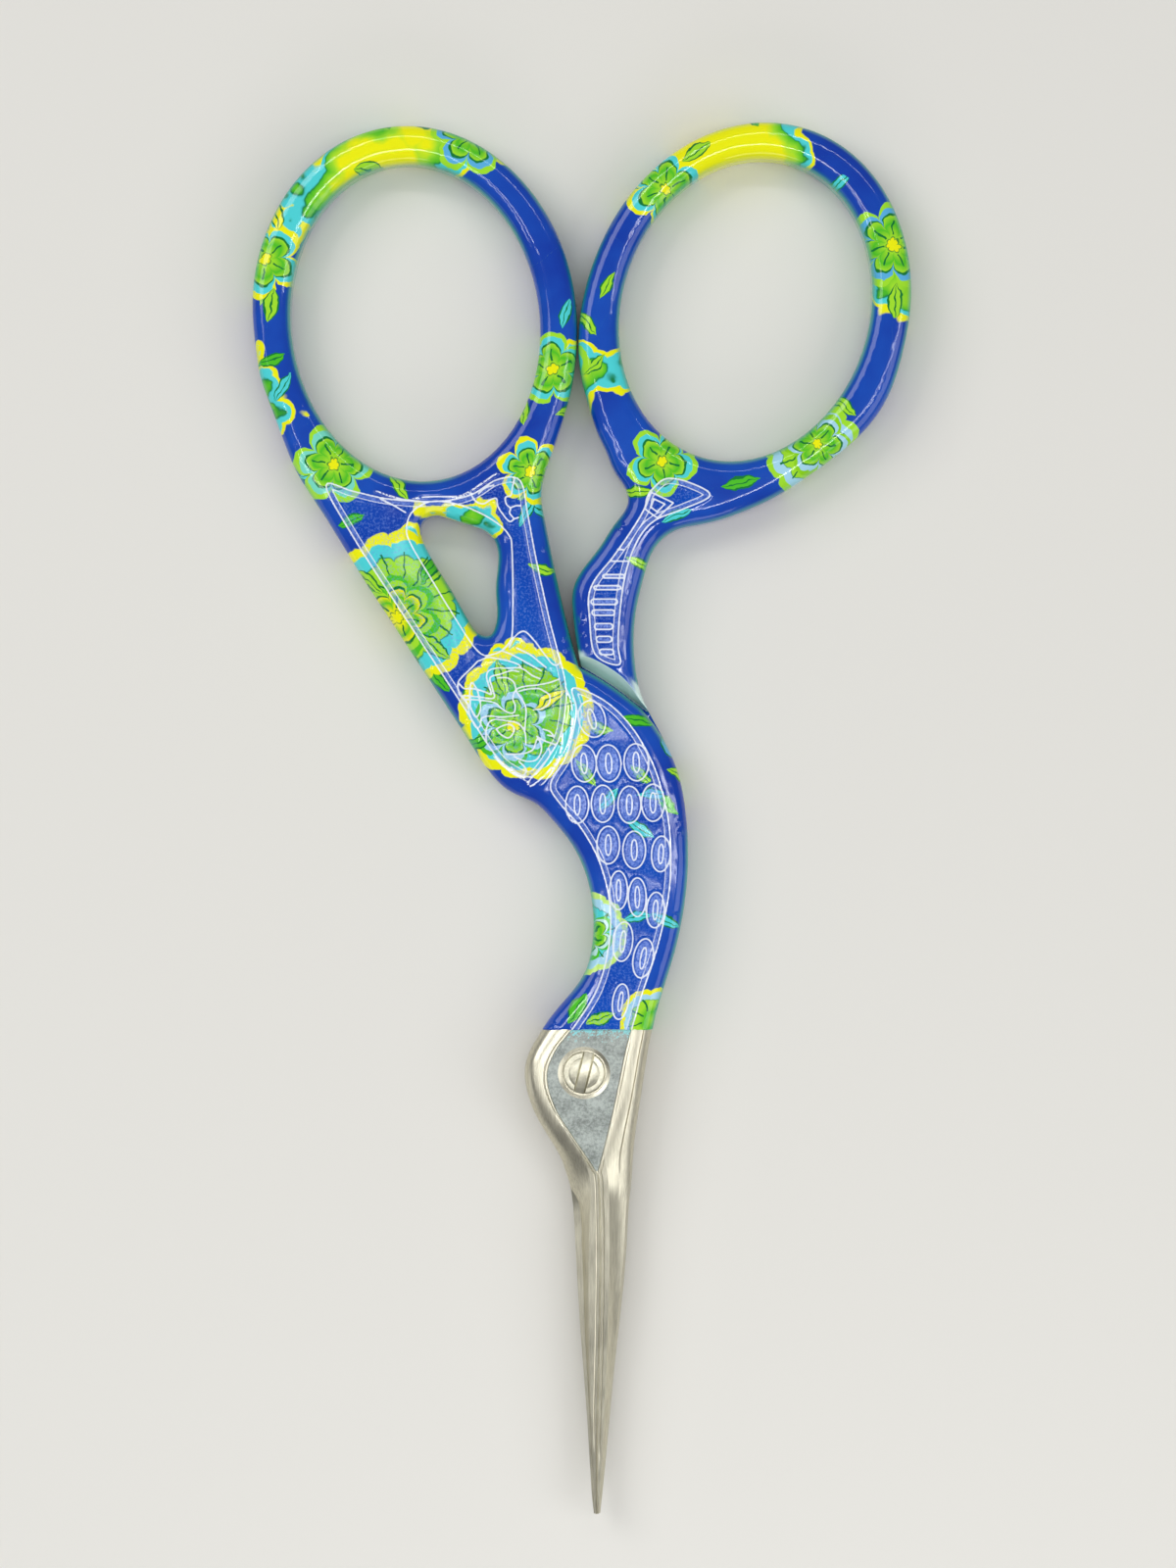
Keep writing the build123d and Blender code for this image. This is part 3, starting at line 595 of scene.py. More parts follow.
@dataclass(frozen=True)
class Blossom:
    """One round-petalled flower of the print with a halo and a border."""

    x: float
    y: float
    radius: float
    petals: int
    turn: float
    halo: str = Ink.AQUA
    border: str = Ink.YELLOW
    petal: str = Ink.LIME
    depth: float = 0.46

    def rings(self) -> list[tuple[float, Colour]]:
        """Lay the colours out from the heart to beyond the border.

        Returns:
            Colour stops by half of the share of the radius.
        """
        eye = ((0.0, Ink.YELLOW), (0.1, Ink.YELLOW), (0.11, Ink.LINE), (0.14, self.petal), (0.33, Ink.GREEN))
        rim = ((0.45, self.petal), (0.46, Ink.LINE), (0.495, Ink.LINE), (0.505, self.halo), (0.6, self.halo))
        return opaque(*eye, *rim, (0.61, self.border), (0.7, self.border)) + [(0.71, clear(self.border))]

    def paint(self, tree: Tree, drawn: Node, below: Node) -> Node:
        """Paint the flower over a colour.

        Args:
            tree: Node tree of the material.
            drawn: Wavering places in mm.
            below: Colour under the flower.

        Returns:
            The colour with the flower on it.
        """
        local = node(tree, "VectorMath", (drawn, (self.x, self.y, 0.0)), operation="SUBTRACT")
        flat = node(tree, "VectorMath", (local, (1.0, 1.0, 0.0)), operation="MULTIPLY")
        length = node(tree, "VectorMath", (flat,), operation="LENGTH")
        parts = node(tree, "SeparateXYZ", (local,)).outputs
        angle = node(tree, "Math", (parts["Y"], parts["X"]), operation="ARCTAN2")
        lobes = self.petals / 2
        turned = node(tree, "Math", (angle, lobes, self.turn * lobes), operation="MULTIPLY_ADD")
        wave = node(tree, "Math", (turned,), operation="COSINE")
        swing = node(tree, "Math", (wave,), operation="ABSOLUTE")
        bulge = node(tree, "Math", (swing, 0.45), operation="POWER")
        cut, kept = self.depth * self.radius, (1 - self.depth) * self.radius
        reach = node(tree, "Math", (bulge, cut, kept), operation="MULTIPLY_ADD")
        share = node(tree, "Math", (length, reach), operation="DIVIDE")
        half = node(tree, "Math", (share, 0.5), operation="MULTIPLY")
        rings = node(tree, "ValToRGB", (half,), self.rings())
        across = node(tree, "Math", (turned,), operation="SINE")
        offset = node(tree, "Math", (across, length), operation="MULTIPLY")
        near = node(tree, "Math", (offset,), operation="ABSOLUTE")
        vein = node(tree, "Math", (near, 0.035 * self.petals), operation="LESS_THAN")
        for limit, side in ((0.72, "LESS_THAN"), (0.3, "GREATER_THAN")):
            shown = node(tree, "Math", (share, limit), operation=side)
            vein = node(tree, "Math", (vein, shown), operation="MULTIPLY")
        veined = node(tree, "Mix", {0: vein, 6: rings, 7: linear(Ink.LINE)}, data_type="RGBA")
        return node(tree, "Mix", {0: rings.outputs["Alpha"], 6: below, 7: veined}, data_type="RGBA")


@dataclass(frozen=True)
class Medallion(Blossom):
    """A large, shallow-scalloped disc that groups smaller motifs."""

    depth: float = 0.09

    def rings(self) -> list[tuple[float, Colour]]:
        """Lay the colours out from the middle to beyond the border.

        Returns:
            Colour stops by half of the share of the radius.
        """
        disc = ((0.0, self.petal), (0.12, Ink.GREEN), (0.24, self.petal), (0.33, self.petal))
        edge = ((0.335, Ink.LINE), (0.345, self.halo), (0.43, self.halo), (0.435, self.border))
        return opaque(*disc, *edge, (0.5, self.border)) + [(0.505, clear(self.border))]


@dataclass(frozen=True)
class Leaf:
    """One pointed leaf of the print with a drawn outline and a midrib."""

    x: float
    y: float
    length: float
    width: float
    lean: float
    fill: str = Ink.LIME

    def paint(self, tree: Tree, drawn: Node, below: Node) -> Node:
        """Paint the leaf over a colour.

        Args:
            tree: Node tree of the material.
            drawn: Wavering places in mm.
            below: Colour under the leaf.

        Returns:
            The colour with the leaf on it.
        """
        local = node(tree, "VectorMath", (drawn, (self.x, self.y, 0.0)), operation="SUBTRACT")
        turn = {"Vector": local, "Angle": -math.radians(self.lean)}
        turned = node(tree, "VectorRotate", turn, rotation_type="Z_AXIS")
        return lay_leaf(tree, turned, (self.length, self.width), below, linear(self.fill), 1.0)


def lay_leaf(tree: Tree, local: Node, size: Point, below: object, fill: object, shown: object) -> Node:
    """Lay a pointed leaf over a colour.

    Args:
        tree: Node tree of the material.
        local: Places from the middle of the leaf, which lies along x.
        size: Length and width in mm.
        below: Colour under the leaf.
        fill: Colour of the leaf.
        shown: 1 where there is a leaf.

    Returns:
        The colour with the leaf on it.
    """
    unit = node(tree, "VectorMath", (local, (2 / size[0], 2 / size[1], 0.0)), operation="MULTIPLY")
    parts = node(tree, "SeparateXYZ", (unit,)).outputs
    squared = node(tree, "Math", (parts["X"], 2.0), operation="POWER")
    room = node(tree, "Math", (1.0, squared), operation="SUBTRACT")
    held = node(tree, "Math", (room, 0.001), operation="MAXIMUM")
    side = node(tree, "Math", (parts["Y"],), operation="ABSOLUTE")
    # 0 on the midrib and 1 on the edge
    share = node(tree, "Math", (side, held), operation="DIVIDE")
    half = node(tree, "Math", (share, 0.5), operation="MULTIPLY")
    lines = ((0.0, 1.0), (0.045, 1.0), (0.055, 0.0), (0.35, 0.0), (0.37, 1.0), (1.0, 1.0))
    drawn = node(tree, "ValToRGB", (half,), [(stop, (value,) * 3 + (1.0,)) for stop, value in lines])
    leaf = node(tree, "Mix", {0: drawn, 6: fill, 7: linear(Ink.LINE)}, data_type="RGBA")
    within = node(tree, "Math", (share, 1.0), operation="LESS_THAN")
    mask = node(tree, "Math", (within, shown), operation="MULTIPLY")
    return node(tree, "Mix", {0: mask, 6: below, 7: leaf}, data_type="RGBA")


# Handle finish: four-colour floral film under clear lacquer on steel. The film gives flat bright
# colours with drawn outlines and the lacquer a smooth gloss; pale grains are painted on the grit of the
# sandblasted recesses as glints, and near-white highlights are painted on the relief's crests.
@dataclass(frozen=True)
class PrintedLacquer(Finish):
    """Floral print on a blue ground under clear lacquer."""

    name: str = "printed_clear_lacquer"
    motifs: Sequence[Blossom | Leaf] = ()
    blue: str = "1250BC"
    deep_blue: str = "0A3AA8"
    # pale blue of the painted glints on the grit of the recesses
    pale_blue: str = "6E90DC"
    teal: str = "35A888"
    # pale mint of the film on the shoulder, painted near white as a highlight
    mint_highlight: str = "DDF8F0"
    frost: str = "86A2EE"
    # near white of the painted highlight on the relief's crests
    crest: str = "F0F5FF"

    def sockets(self, tree: Tree) -> dict[str, object]:
        """Paint the print from the ground up.

        Args:
            tree: Node tree of the material.

        Returns:
            Values and nodes for the sockets of the surface shader.
        """
        place = millimetres(tree)
        wobble = node(tree, "TexNoise", {"Vector": place, "Scale": 0.9, "Detail": 2.0}).outputs["Color"]
        centred = node(tree, "VectorMath", (wobble, (0.5,) * 3), operation="SUBTRACT")
        shift = node(tree, "VectorMath", (centred, (0.7, 0.7, 0.0)), operation="MULTIPLY")
        drawn = node(tree, "VectorMath", (place, shift), operation="ADD")
        colour = self.sprigs(tree, drawn, self.ground(tree, place, drawn))
        for motif in self.motifs:
            colour = motif.paint(tree, drawn, colour)
        return self.surface(tree, place, self.stretched(tree, place, colour))

    def ground(self, tree: Tree, place: Node, drawn: Node) -> Node:
        """Blue ground with scallop-edged patches of yellow, aqua and green.

        Args:
            tree: Node tree of the material.
            place: Places in mm.
            drawn: Wavering places in mm.

        Returns:
            The colour of the ground.
        """
        mottle = node(tree, "TexNoise", {"Vector": place, "Scale": 0.16, "Detail": 3.0})
        blues = node(tree, "ValToRGB", (mottle,), opaque((0.35, self.deep_blue), (0.65, self.blue)))
        spread = {"Vector": drawn, "W": 3.7, "Scale": 0.085, "Detail": 1.0, "Roughness": 0.4}
        cloud = node(tree, "TexNoise", spread, noise_dimensions="4D")
        scallops = node(tree, "TexVoronoi", {"Vector": drawn, "Scale": 0.6}, voronoi_dimensions="2D")
        along = node(tree, "SeparateXYZ", (place,)).outputs["Y"]
        # fewer patches from the tail down
        calm = node(tree, "MapRange", (along, 10.0, 24.0, -0.12, 0.0))
        calmer = node(tree, "Math", (cloud, calm), operation="ADD")
        edge = node(tree, "Math", (scallops, -0.05, calmer), operation="MULTIPLY_ADD")
        bare = [(0.0, clear(Ink.YELLOW)), (0.545, clear(Ink.YELLOW))]
        border = opaque((0.547, Ink.YELLOW), (0.563, Ink.YELLOW), (0.565, Ink.AQUA), (0.585, Ink.AQUA))
        middle = opaque((0.59, Ink.LINE), (0.595, Ink.GREEN), (0.63, Ink.LIME), (0.66, Ink.YELLOW))
        patches = node(tree, "ValToRGB", (edge,), bare + border + middle)
        return node(tree, "Mix", {0: patches.outputs["Alpha"], 6: blues, 7: patches}, data_type="RGBA")

    def stretched(self, tree: Tree, place: Node, below: Node) -> Node:
        """Teal in places on the sides, where the film is stretched and its colours run together.

        Args:
            tree: Node tree of the material.
            place: Places in mm.
            below: Colour of the print.

        Returns:
            The colour with the stretched sides.
        """
        side = node(tree, "Attribute", attribute_name="side").outputs["Fac"]
        steep = node(tree, "MapRange", (side, 0.2, 0.7, 0.0, 0.75), interpolation_type="SMOOTHSTEP")
        where = node(tree, "TexNoise", {"Vector": place, "Scale": 0.07, "Detail": 1.0})
        band = node(tree, "MapRange", (where, 0.43, 0.53), interpolation_type="SMOOTHSTEP")
        share = node(tree, "Math", (steep, band), operation="MULTIPLY")
        return node(tree, "Mix", {0: share, 6: below, 7: linear(self.teal)}, data_type="RGBA")

    def sprigs(self, tree: Tree, drawn: Node, below: Node) -> Node:
        """Small leaves strewn over the ground, each with its own turn and colour.

        Args:
            tree: Node tree of the material.
            drawn: Wavering places in mm.
            below: Colour of the ground.

        Returns:
            The colour with the leaves on it.
        """
        spread = {"Vector": drawn, "Scale": 0.3, "Randomness": 0.75}
        cells = node(tree, "TexVoronoi", spread, voronoi_dimensions="2D").outputs
        local = node(tree, "VectorMath", (drawn, cells["Position"]), operation="SUBTRACT")
        chance = node(tree, "SeparateXYZ", (cells["Color"],)).outputs
        angle = node(tree, "Math", (chance["X"], math.tau), operation="MULTIPLY")
        turned = node(tree, "VectorRotate", {"Vector": local, "Angle": angle}, rotation_type="Z_AXIS")
        inks = opaque((0.0, Ink.LIME), (0.4, Ink.GREEN), (0.6, Ink.AQUA), (1.0, Ink.YELLOW))
        fill = node(tree, "ValToRGB", (chance["Y"],), inks)
        fill.color_ramp.interpolation = "CONSTANT"
        shown = node(tree, "Math", (chance["Z"], 0.68), operation="GREATER_THAN")
        return lay_leaf(tree, turned, (2.6, 1.0), below, fill, shown)

    def surface(self, tree: Tree, place: Node, colour: Node) -> dict[str, object]:
        """Painted glints on the grit of the sandblasted recesses, and painted highlights on the relief's
        crests.

        Args:
            tree: Node tree of the material.
            place: Places in mm.
            colour: Colour of the print.

        Returns:
            Values and nodes for the sockets of the surface shader.
        """
        names = ("recess", "crest", "frost", "pale")
        marks = [node(tree, "Attribute", attribute_name=name).outputs["Fac"] for name in names]
        recess, crest, frost, pale = marks
        # grit of about 0.1 mm, drawn at 0.2 mm so that it shows
        grit = node(tree, "TexNoise", {"Vector": place, "Scale": 5.0, "Detail": 2.0, "Roughness": 0.7})
        grains = node(tree, "MapRange", (grit, 0.48, 0.72, 0.0, 0.55))
        # painted glints: pale grains on the grit of the recesses
        grit_glint = node(tree, "Math", (recess, grains), operation="MULTIPLY")
        scratch = node(tree, "MapRange", (grit, 0.35, 0.6, 0.15, 0.75))
        frosted = node(tree, "Math", (frost, scratch), operation="MULTIPLY")
        # painted highlight: near-white lines where the relief's crests stand up
        line = node(tree, "MapRange", (crest, 0.66, 0.86, 0.0, 0.88), interpolation_type="SMOOTHSTEP")
        shades = ((grit_glint, self.pale_blue), (frosted, self.frost), (pale, self.mint_highlight), (line, self.crest))
        for share, shade in shades:
            colour = node(tree, "Mix", {0: share, 6: colour, 7: linear(shade)}, data_type="RGBA")
        height = node(tree, "Math", (recess, grit), operation="MULTIPLY")
        return {
            "Base Color": colour,
            "Roughness": 0.5,
            "Specular IOR Level": 0.0,
            "Coat Weight": node(tree, "MapRange", (recess, 0.0, 1.0, 1.0, 0.25)),
            "Coat Roughness": 0.09,
            "Coat IOR": 1.5,
            "Normal": node(tree, "Bump", {"Strength": 0.3, "Distance": 0.00003, "Height": height}),
        }


# Head, blades and screw: hardened stainless steel, ground and then satin polished along the blade,
# which leaves fine lines that run lengthwise and a soft, slightly warm shine.
@dataclass(frozen=True)
class SatinSteel(Finish):
    """Stainless steel with fine grinding lines."""

    name: str = "satin_ground_steel"
    base: str = "DAD6C2"
    shade: str = "BDB8A5"
    roughness: float = 0.33
    stretch: tuple[float, float, float] = (9.0, 0.5, 9.0)
    lines: float = 0.08

    def sockets(self, tree: Tree) -> dict[str, object]:
        """Draw the grinding lines.

        Args:
            tree: Node tree of the material.

        Returns:
            Values and nodes for the sockets of the surface shader.
        """
        # grinding lines about 0.05 mm apart, drawn at 0.1 mm so that they show
        place = millimetres(tree, self.stretch)
        grind = node(tree, "TexNoise", {"Vector": place, "Scale": 1.0, "Detail": 3.0, "Roughness": 0.6})
        cloud = node(tree, "TexNoise", {"Vector": millimetres(tree), "Scale": 0.35, "Detail": 2.0})
        rough = (cloud, 0.3, 0.7, self.roughness - 0.05, self.roughness + 0.07)
        return {
            "Base Color": node(tree, "ValToRGB", (grind,), opaque((0.3, self.shade), (0.7, self.base))),
            "Metallic": 1.0,
            "Roughness": node(tree, "MapRange", rough),
            "Normal": node(tree, "Bump", {"Strength": self.lines, "Distance": 0.00002, "Height": grind}),
        }


# Flat panel of the head: the same steel, etched matt between its polished rims, grey and slightly sandy.
# The print's film ends on it in loose dots.
@dataclass(frozen=True)
class EtchedSteel(Finish):
    """Stainless steel with a sandy etched surface and a dotted end of the print."""

    name: str = "etched_steel"
    base: str = "B4BBB6"
    shade: str = "828884"
    film: str = "8CD8DC"
    roughness: float = 0.5
    film_end: float = -19.2

    def sockets(self, tree: Tree) -> dict[str, object]:
        """Draw the etched grain and the end of the film.

        Args:
            tree: Node tree of the material.

        Returns:
            Values and nodes for the sockets of the surface shader.
        """
        place = millimetres(tree)
        # etch pits of about 0.1 mm, drawn at 0.25 mm so that they show
        grain = node(tree, "TexNoise", {"Vector": place, "Scale": 4.0, "Detail": 4.0, "Roughness": 0.75})
        cloud = node(tree, "TexNoise", {"Vector": place, "Scale": 0.7, "Detail": 3.0})
        both = node(tree, "Math", (cloud, 0.6, -0.3), operation="MULTIPLY_ADD")
        mixed = node(tree, "Math", (grain, both), operation="ADD")
        tone = node(tree, "ValToRGB", (mixed,), opaque((0.3, self.shade), (0.65, self.base)))
        along = node(tree, "SeparateXYZ", (place,)).outputs["Y"]
        fade = node(tree, "MapRange", (along, self.film_end, COAT_END, -0.25, 0.08))
        fringe = node(tree, "Math", (grain, fade), operation="ADD")
        dots = node(tree, "Math", (fringe, 0.55), operation="GREATER_THAN")
        return {
            "Base Color": node(tree, "Mix", {0: dots, 6: tone, 7: linear(self.film)}, data_type="RGBA"),
            "Metallic": node(tree, "Math", (1.0, dots), operation="SUBTRACT"),
            "Roughness": self.roughness,
            "Normal": node(tree, "Bump", {"Strength": 0.5, "Distance": 0.00003, "Height": mixed}),
        }


def linked(name: str, data: bpy.types.ID) -> Object:
    """Add an object to the scene.

    Args:
        name: Name of the object.
        data: The mesh, lamp or camera that it shows.

    Returns:
        The object, at the origin.
    """
    made = bpy.data.objects.new(name, data)
    bpy.context.scene.collection.objects.link(made)
    return made


def finished(bm: bmesh.types.BMesh, name: str) -> Object:
    """Turn a bmesh into an object at the origin.

    Args:
        bm: The bmesh, which is freed.
        name: Name of the object and its mesh.

    Returns:
        The object.
    """
    mesh = bpy.data.meshes.new(name)
    bm.to_mesh(mesh)
    bm.free()
    return linked(name, mesh)


def modify(made: Object, kind: str, **settings: object) -> None:
    """Add a modifier to a piece.

    Args:
        made: The piece.
        kind: Blender's name of the modifier type.
        **settings: Properties of the modifier.
    """
    added = made.modifiers.new(kind.lower(), kind)
    for name, value in settings.items():
        setattr(added, name, value)


def applied(made: Object, cutters: Sequence[Object] = ()) -> Mesh:
    """Apply a piece's modifiers.

    Args:
        made: The piece.
        cutters: Objects that the modifiers used and that are removed.

    Returns:
        The piece's new mesh.
    """
    graph = bpy.context.evaluated_depsgraph_get()
    mesh = bpy.data.meshes.new_from_object(made.evaluated_get(graph))
    made.modifiers.clear()
    old = made.data
    made.data = mesh
    bpy.data.meshes.remove(old)
    for cutter in cutters:
        bpy.data.objects.remove(cutter)
    return mesh


def to_metres(mesh: Mesh) -> None:
    """Turn a mesh from millimetres to metres and shade it smooth."""
    mesh.transform(Matrix.Scale(MM, 4))
    mesh.shade_smooth()


def wear(made: Object, finishes: Sequence[Material]) -> None:
    """Put finishes on a piece and keep which face has which.

    Args:
        made: The piece.
        finishes: Materials in the order of the faces' numbers.
    """
    mesh = made.data
    chosen = [min(polygon.material_index, len(finishes) - 1) for polygon in mesh.polygons]
    mesh.materials.clear()
    for finish in finishes:
        mesh.materials.append(finish)
    mesh.polygons.foreach_set("material_index", chosen)


def read_places(mesh: Mesh, what: str = "co") -> np.ndarray:
    """Read one kind of value of a mesh's vertices.

    Args:
        mesh: The mesh.
        what: Blender's name of the value, co for places or normal.

    Returns:
        Three numbers for each vertex, one row each.
    """
    values = np.zeros(len(mesh.vertices) * 3, np.float32)
    mesh.vertices.foreach_get(what, values)
    return values.reshape(-1, 3).astype(float)


@dataclass
class CoatedHandle:
    """The printed part of one half, from its finger ring to the end of the coat."""

    node_name: str
    piece: str
    body: str
    reliefs: dict[Face, Relief]
    pale_line: Sequence[Point] = ()
    pale_reach: float = 0.95
    pale_ease: float = 0.2
    face_ease: float = 0.5
    least_facing: float = 0.45
    facing_ease: float = 0.3
    voxel: float = 0.09
    smoothing: int = 8
    most_faces: int = 190000
    settle: float = 0.05
    least_cover: float = 0.01
    level_reach: float = 0.002

    def rough(self) -> Object:
        """Copy the CAD half in mm, with its carved panels filled and its bare end cut off.

        Returns:
            The copy.
        """
        bm = bmesh.new()
        bm.from_mesh(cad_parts[self.node_name].data)
        bmesh.ops.scale(bm, vec=(1 / MM,) * 3, verts=bm.verts)
        bmesh.ops.remove_doubles(bm, verts=bm.verts, dist=MERGE)
        for vert in bm.verts:
            for floor, face in ((TOP - PANEL_FLOOR, TOP), (PANEL_FLOOR, 0.0)):
                if abs(vert.co.z - floor) < self.level_reach:
                    vert.co.z = face
        bmesh.ops.remove_doubles(bm, verts=bm.verts, dist=MERGE)
        bmesh.ops.bisect_plane(
            bm,
            geom=bm.verts[:] + bm.edges[:] + bm.faces[:],
            plane_co=(0.0, COAT_END + 0.004, 0.0),
            plane_no=(0.0, -1.0, 0.0),
            clear_outer=True,
        )
        rim = [edge for edge in bm.edges if edge.is_boundary]
        bmesh.ops.triangle_fill(bm, use_beauty=True, edges=rim)
        return finished(bm, self.piece)

    def engrave(self, mesh: Mesh) -> None:
        """Press the reliefs into the faces and note recesses and crests for the finish.

        Args:
            mesh: Mesh of the handle in mm, with even faces.
        """
        places = read_places(mesh)
        normals = read_places(mesh, "normal")
        recess, crest, frost, flat = np.zeros((4, len(places)))
        for face in Face:
            height = (places[:, 2] - LAP_PLANE) * face.value
            facing = smooth_step((normals[:, 2] * face.value - self.least_facing) / self.facing_ease)
            level = smooth_step((height - FACE_HEIGHT + self.face_ease) / self.face_ease) * facing
            relief = self.reliefs[face]
            floor, raised, bright, frosted = relief.sample(places[:, 0], places[:, 1])
            lift = level * np.minimum(raised - floor, self.settle - self.least_cover)
            recess = np.maximum(recess, level * np.clip(floor / relief.floor_depth, 0, 1))
            crest = np.maximum(crest, level * bright)
            frost = np.maximum(frost, level * frosted)
            flat = np.maximum(flat, level)
            places[:, 2] += (-self.settle * level + lift) * face.value
        # painted highlight: the pale mint on the shoulder's slope, kept off the flat faces
        pale = self.pale_share(places) * (1.0 - flat)
        side = 1.0 - np.abs(normals[:, 2])
        mesh.vertices.foreach_set("co", places.astype(np.float32).ravel())
        kept = {"recess": recess, "crest": crest, "frost": frost, "pale": pale, "side": side}
        for name, values in kept.items():
            attribute = mesh.attributes.new(name, "FLOAT", "POINT")
            attribute.data.foreach_set("value", values.astype(np.float32))
        mesh.update()

    def pale_share(self, places: np.ndarray) -> np.ndarray:
        """Work out how strongly the mint highlight is painted beside the pale line.

        Args:
            places: Places in mm, one row each.

        Returns:
            A share from 0 to 1 for each place.
        """
        share = np.zeros(len(places))
        line = rounded_line(self.pale_line, False) if self.pale_line else ()
        for start, end in zip(line, line[1:]):
            way = end - start
            offset = places[:, :2] - start
            run = np.clip(offset @ way / max(float(way @ way), 1e-9), 0.0, 1.0)
            gap = np.hypot(*(offset - run[:, None] * way).T)
            share = np.maximum(share, smooth_step((self.pale_reach - gap) / self.pale_ease))
        return share * (places[:, 2] > LAP_PLANE + 0.05)

    def build(self) -> Object:
        """Make the rounded, engraved mesh of the coated handle.

        Returns:
            The piece, in metres.
        """
        coarser = 1
        made = self.rough()
        modify(made, "REMESH", mode="VOXEL", voxel_size=self.voxel * coarser)
        modify(made, "SMOOTH", iterations=self.smoothing // coarser)
        mesh = applied(made)
        self.engrave(mesh)
        faces = sum(len(polygon.vertices) - 2 for polygon in mesh.polygons)
        if faces > self.most_faces:
            modify(made, "DECIMATE", ratio=self.most_faces / faces)
            mesh = applied(made)
        to_metres(mesh)
        return made

    def dress(self, made: Object, finishes: Sequence[Material]) -> None:
        """Give the piece its finish and its place in the frame.

        Args:
            made: The piece.
            finishes: The lacquer.
        """
        wear(made, finishes)
        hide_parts(self.node_name)
        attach(made, self.body)


@dataclass(frozen=True)
class Station:
    """One measured section of head and blade, in mm.

    Heights are above the lap plane. Flat is 1 where the section has a flat panel between two rounded
    bands and 0 where it is a two-sided blade.
    """

    y: float
    side: float
    ridge: float
    middle: float
    far_ridge: float
    far_side: float
    edge: float
    top: float
    back: float
    flat: float
    bevel: float


# one row for each Station, its fields in order
STATIONS = (
    (-17.4, -3.3, -1.64, 0.91, 4.39, 5.85, 1.1, 2.24, 1.1, 1.0, 0.0),
    (-18.21, -3.82, -2.21, 0.75, 4.23, 5.69, 1.1, 2.24, 1.1, 1.0, 0.0),
    (-19.01, -4.27, -2.77, 0.58, 4.07, 5.53, 1.1, 2.24, 1.1, 1.0, 0.0),
    (-19.91, -4.63, -3.3, 0.43, 3.88, 5.39, 1.1, 2.24, 1.1, 1.0, 0.0),
    (-20.92, -4.77, -3.5, 0.26, 3.71, 5.23, 1.1, 2.24, 1.1, 1.0, 0.0),
    (-21.93, -4.68, -3.42, 0.18, 3.5, 5.07, 1.1, 2.24, 1.1, 1.0, 0.0),
    (-22.91, -4.45, -3.1, 0.18, 3.28, 4.93, 1.08, 2.24, 1.1, 1.0, 0.0),
    (-23.96, -4.06, -2.55, 0.26, 3.02, 4.77, 1.03, 2.24, 1.08, 0.97, 0.0),
    (-25.01, -3.54, -1.88, 0.43, 2.73, 4.61, 0.97, 2.24, 1.06, 0.92, 0.0),
    (-26.06, -2.91, -1.19, 0.67, 2.45, 4.47, 0.87, 2.24, 1.03, 0.84, 0.0),
    (-27.12, -2.25, -0.51, 0.91, 2.17, 4.34, 0.76, 2.24, 1.01, 0.72, 0.0),
    (-28.0, -1.76, 0.06, 1.11, 1.99, 4.27, 0.67, 2.23, 0.99, 0.6, 0.0),
    (-28.98, -1.39, 0.48, 1.3, 2.08, 4.19, 0.55, 2.21, 0.99, 0.42, 0.0),
    (-30.19, -1.01, 0.72, 1.42, 2.18, 4.09, 0.41, 2.17, 0.99, 0.2, 0.0),
    (-31.65, -0.76, 0.72, 1.46, 2.25, 3.91, 0.25, 2.12, 0.97, 0.0, 0.47),
    (-33.19, -0.63, 0.66, 1.5, 2.27, 3.81, 0.21, 2.05, 0.94, 0.0, 0.58),
    (-35.21, -0.53, 0.6, 1.52, 2.27, 3.71, 0.21, 1.97, 0.9, 0.0, 0.54),
    (-37.64, -0.4, 0.57, 1.51, 2.25, 3.52, 0.21, 1.86, 0.85, 0.0, 0.5),
    (-41.7, -0.16, 0.6, 1.44, 2.12, 3.1, 0.21, 1.66, 0.76, 0.0, 0.39),
    (-45.75, 0.15, 0.67, 1.36, 1.98, 2.65, 0.21, 1.43, 0.67, 0.0, 0.28),
    (-49.8, 0.45, 0.78, 1.26, 1.78, 2.27, 0.21, 1.19, 0.57, 0.0, 0.21),
    (-53.84, 0.69, 0.92, 1.23, 1.56, 1.89, 0.18, 0.94, 0.48, 0.0, 0.15),
    (-56.27, 0.86, 1.02, 1.22, 1.43, 1.64, 0.18, 0.76, 0.41, 0.0, 0.09),
    (-57.4, 0.99, 1.12, 1.25, 1.38, 1.51, 0.18, 0.63, 0.34, 0.0, 0.06),
)


@dataclass(frozen=True)
class Corner:
    """One point of a section, and whether a crisp edge runs through it."""

    x: float
    height: float
    sharp: bool


class CuttingSide(Enum):
    """The side of a blade that has its cutting edge, seen from the front."""

    LEFT = 1
    RIGHT = -1


PANEL_LEFT = (
    (-29.22, 1.28), (-28.0, 0.51), (-26.22, -0.71), (-23.88, -2.17), (-21.29, -2.9), (-19.18, -2.25),
    (-16.9, -0.5),
)
PANEL_RIGHT = ((-29.22, 1.28), (-27.92, 1.64), (-25.5, 2.25), (-22.42, 2.94), (-19.26, 3.58), (-16.9, 4.2))


def panel_sides(y: float) -> Point:
    """Left and right edge of the head's flat panel at one place along the blade."""
    left, right = (np.interp(y, *rounded_line(points, False).T) for points in (PANEL_LEFT, PANEL_RIGHT))
    return float(left), float(right)


@dataclass(frozen=True)
class Hole:
    """A round hole or seat about the pivot, with heights above the underside."""

    low_radius: float
    high_radius: float
    low: float = -1.0
    high: float = 6.0

    def cutter(self) -> Object:
        """Make the cutter.

        Returns:
            The cutter, in mm.
        """
        bm = bmesh.new()
        bmesh.ops.create_cone(
            bm,
            cap_ends=True,
            segments=ROUND_STEPS,
            radius1=self.low_radius,
            radius2=self.high_radius,
            depth=self.high - self.low,
            matrix=Matrix.Translation((*PIVOT, (self.low + self.high) / 2)),
        )
        return finished(bm, "hole")


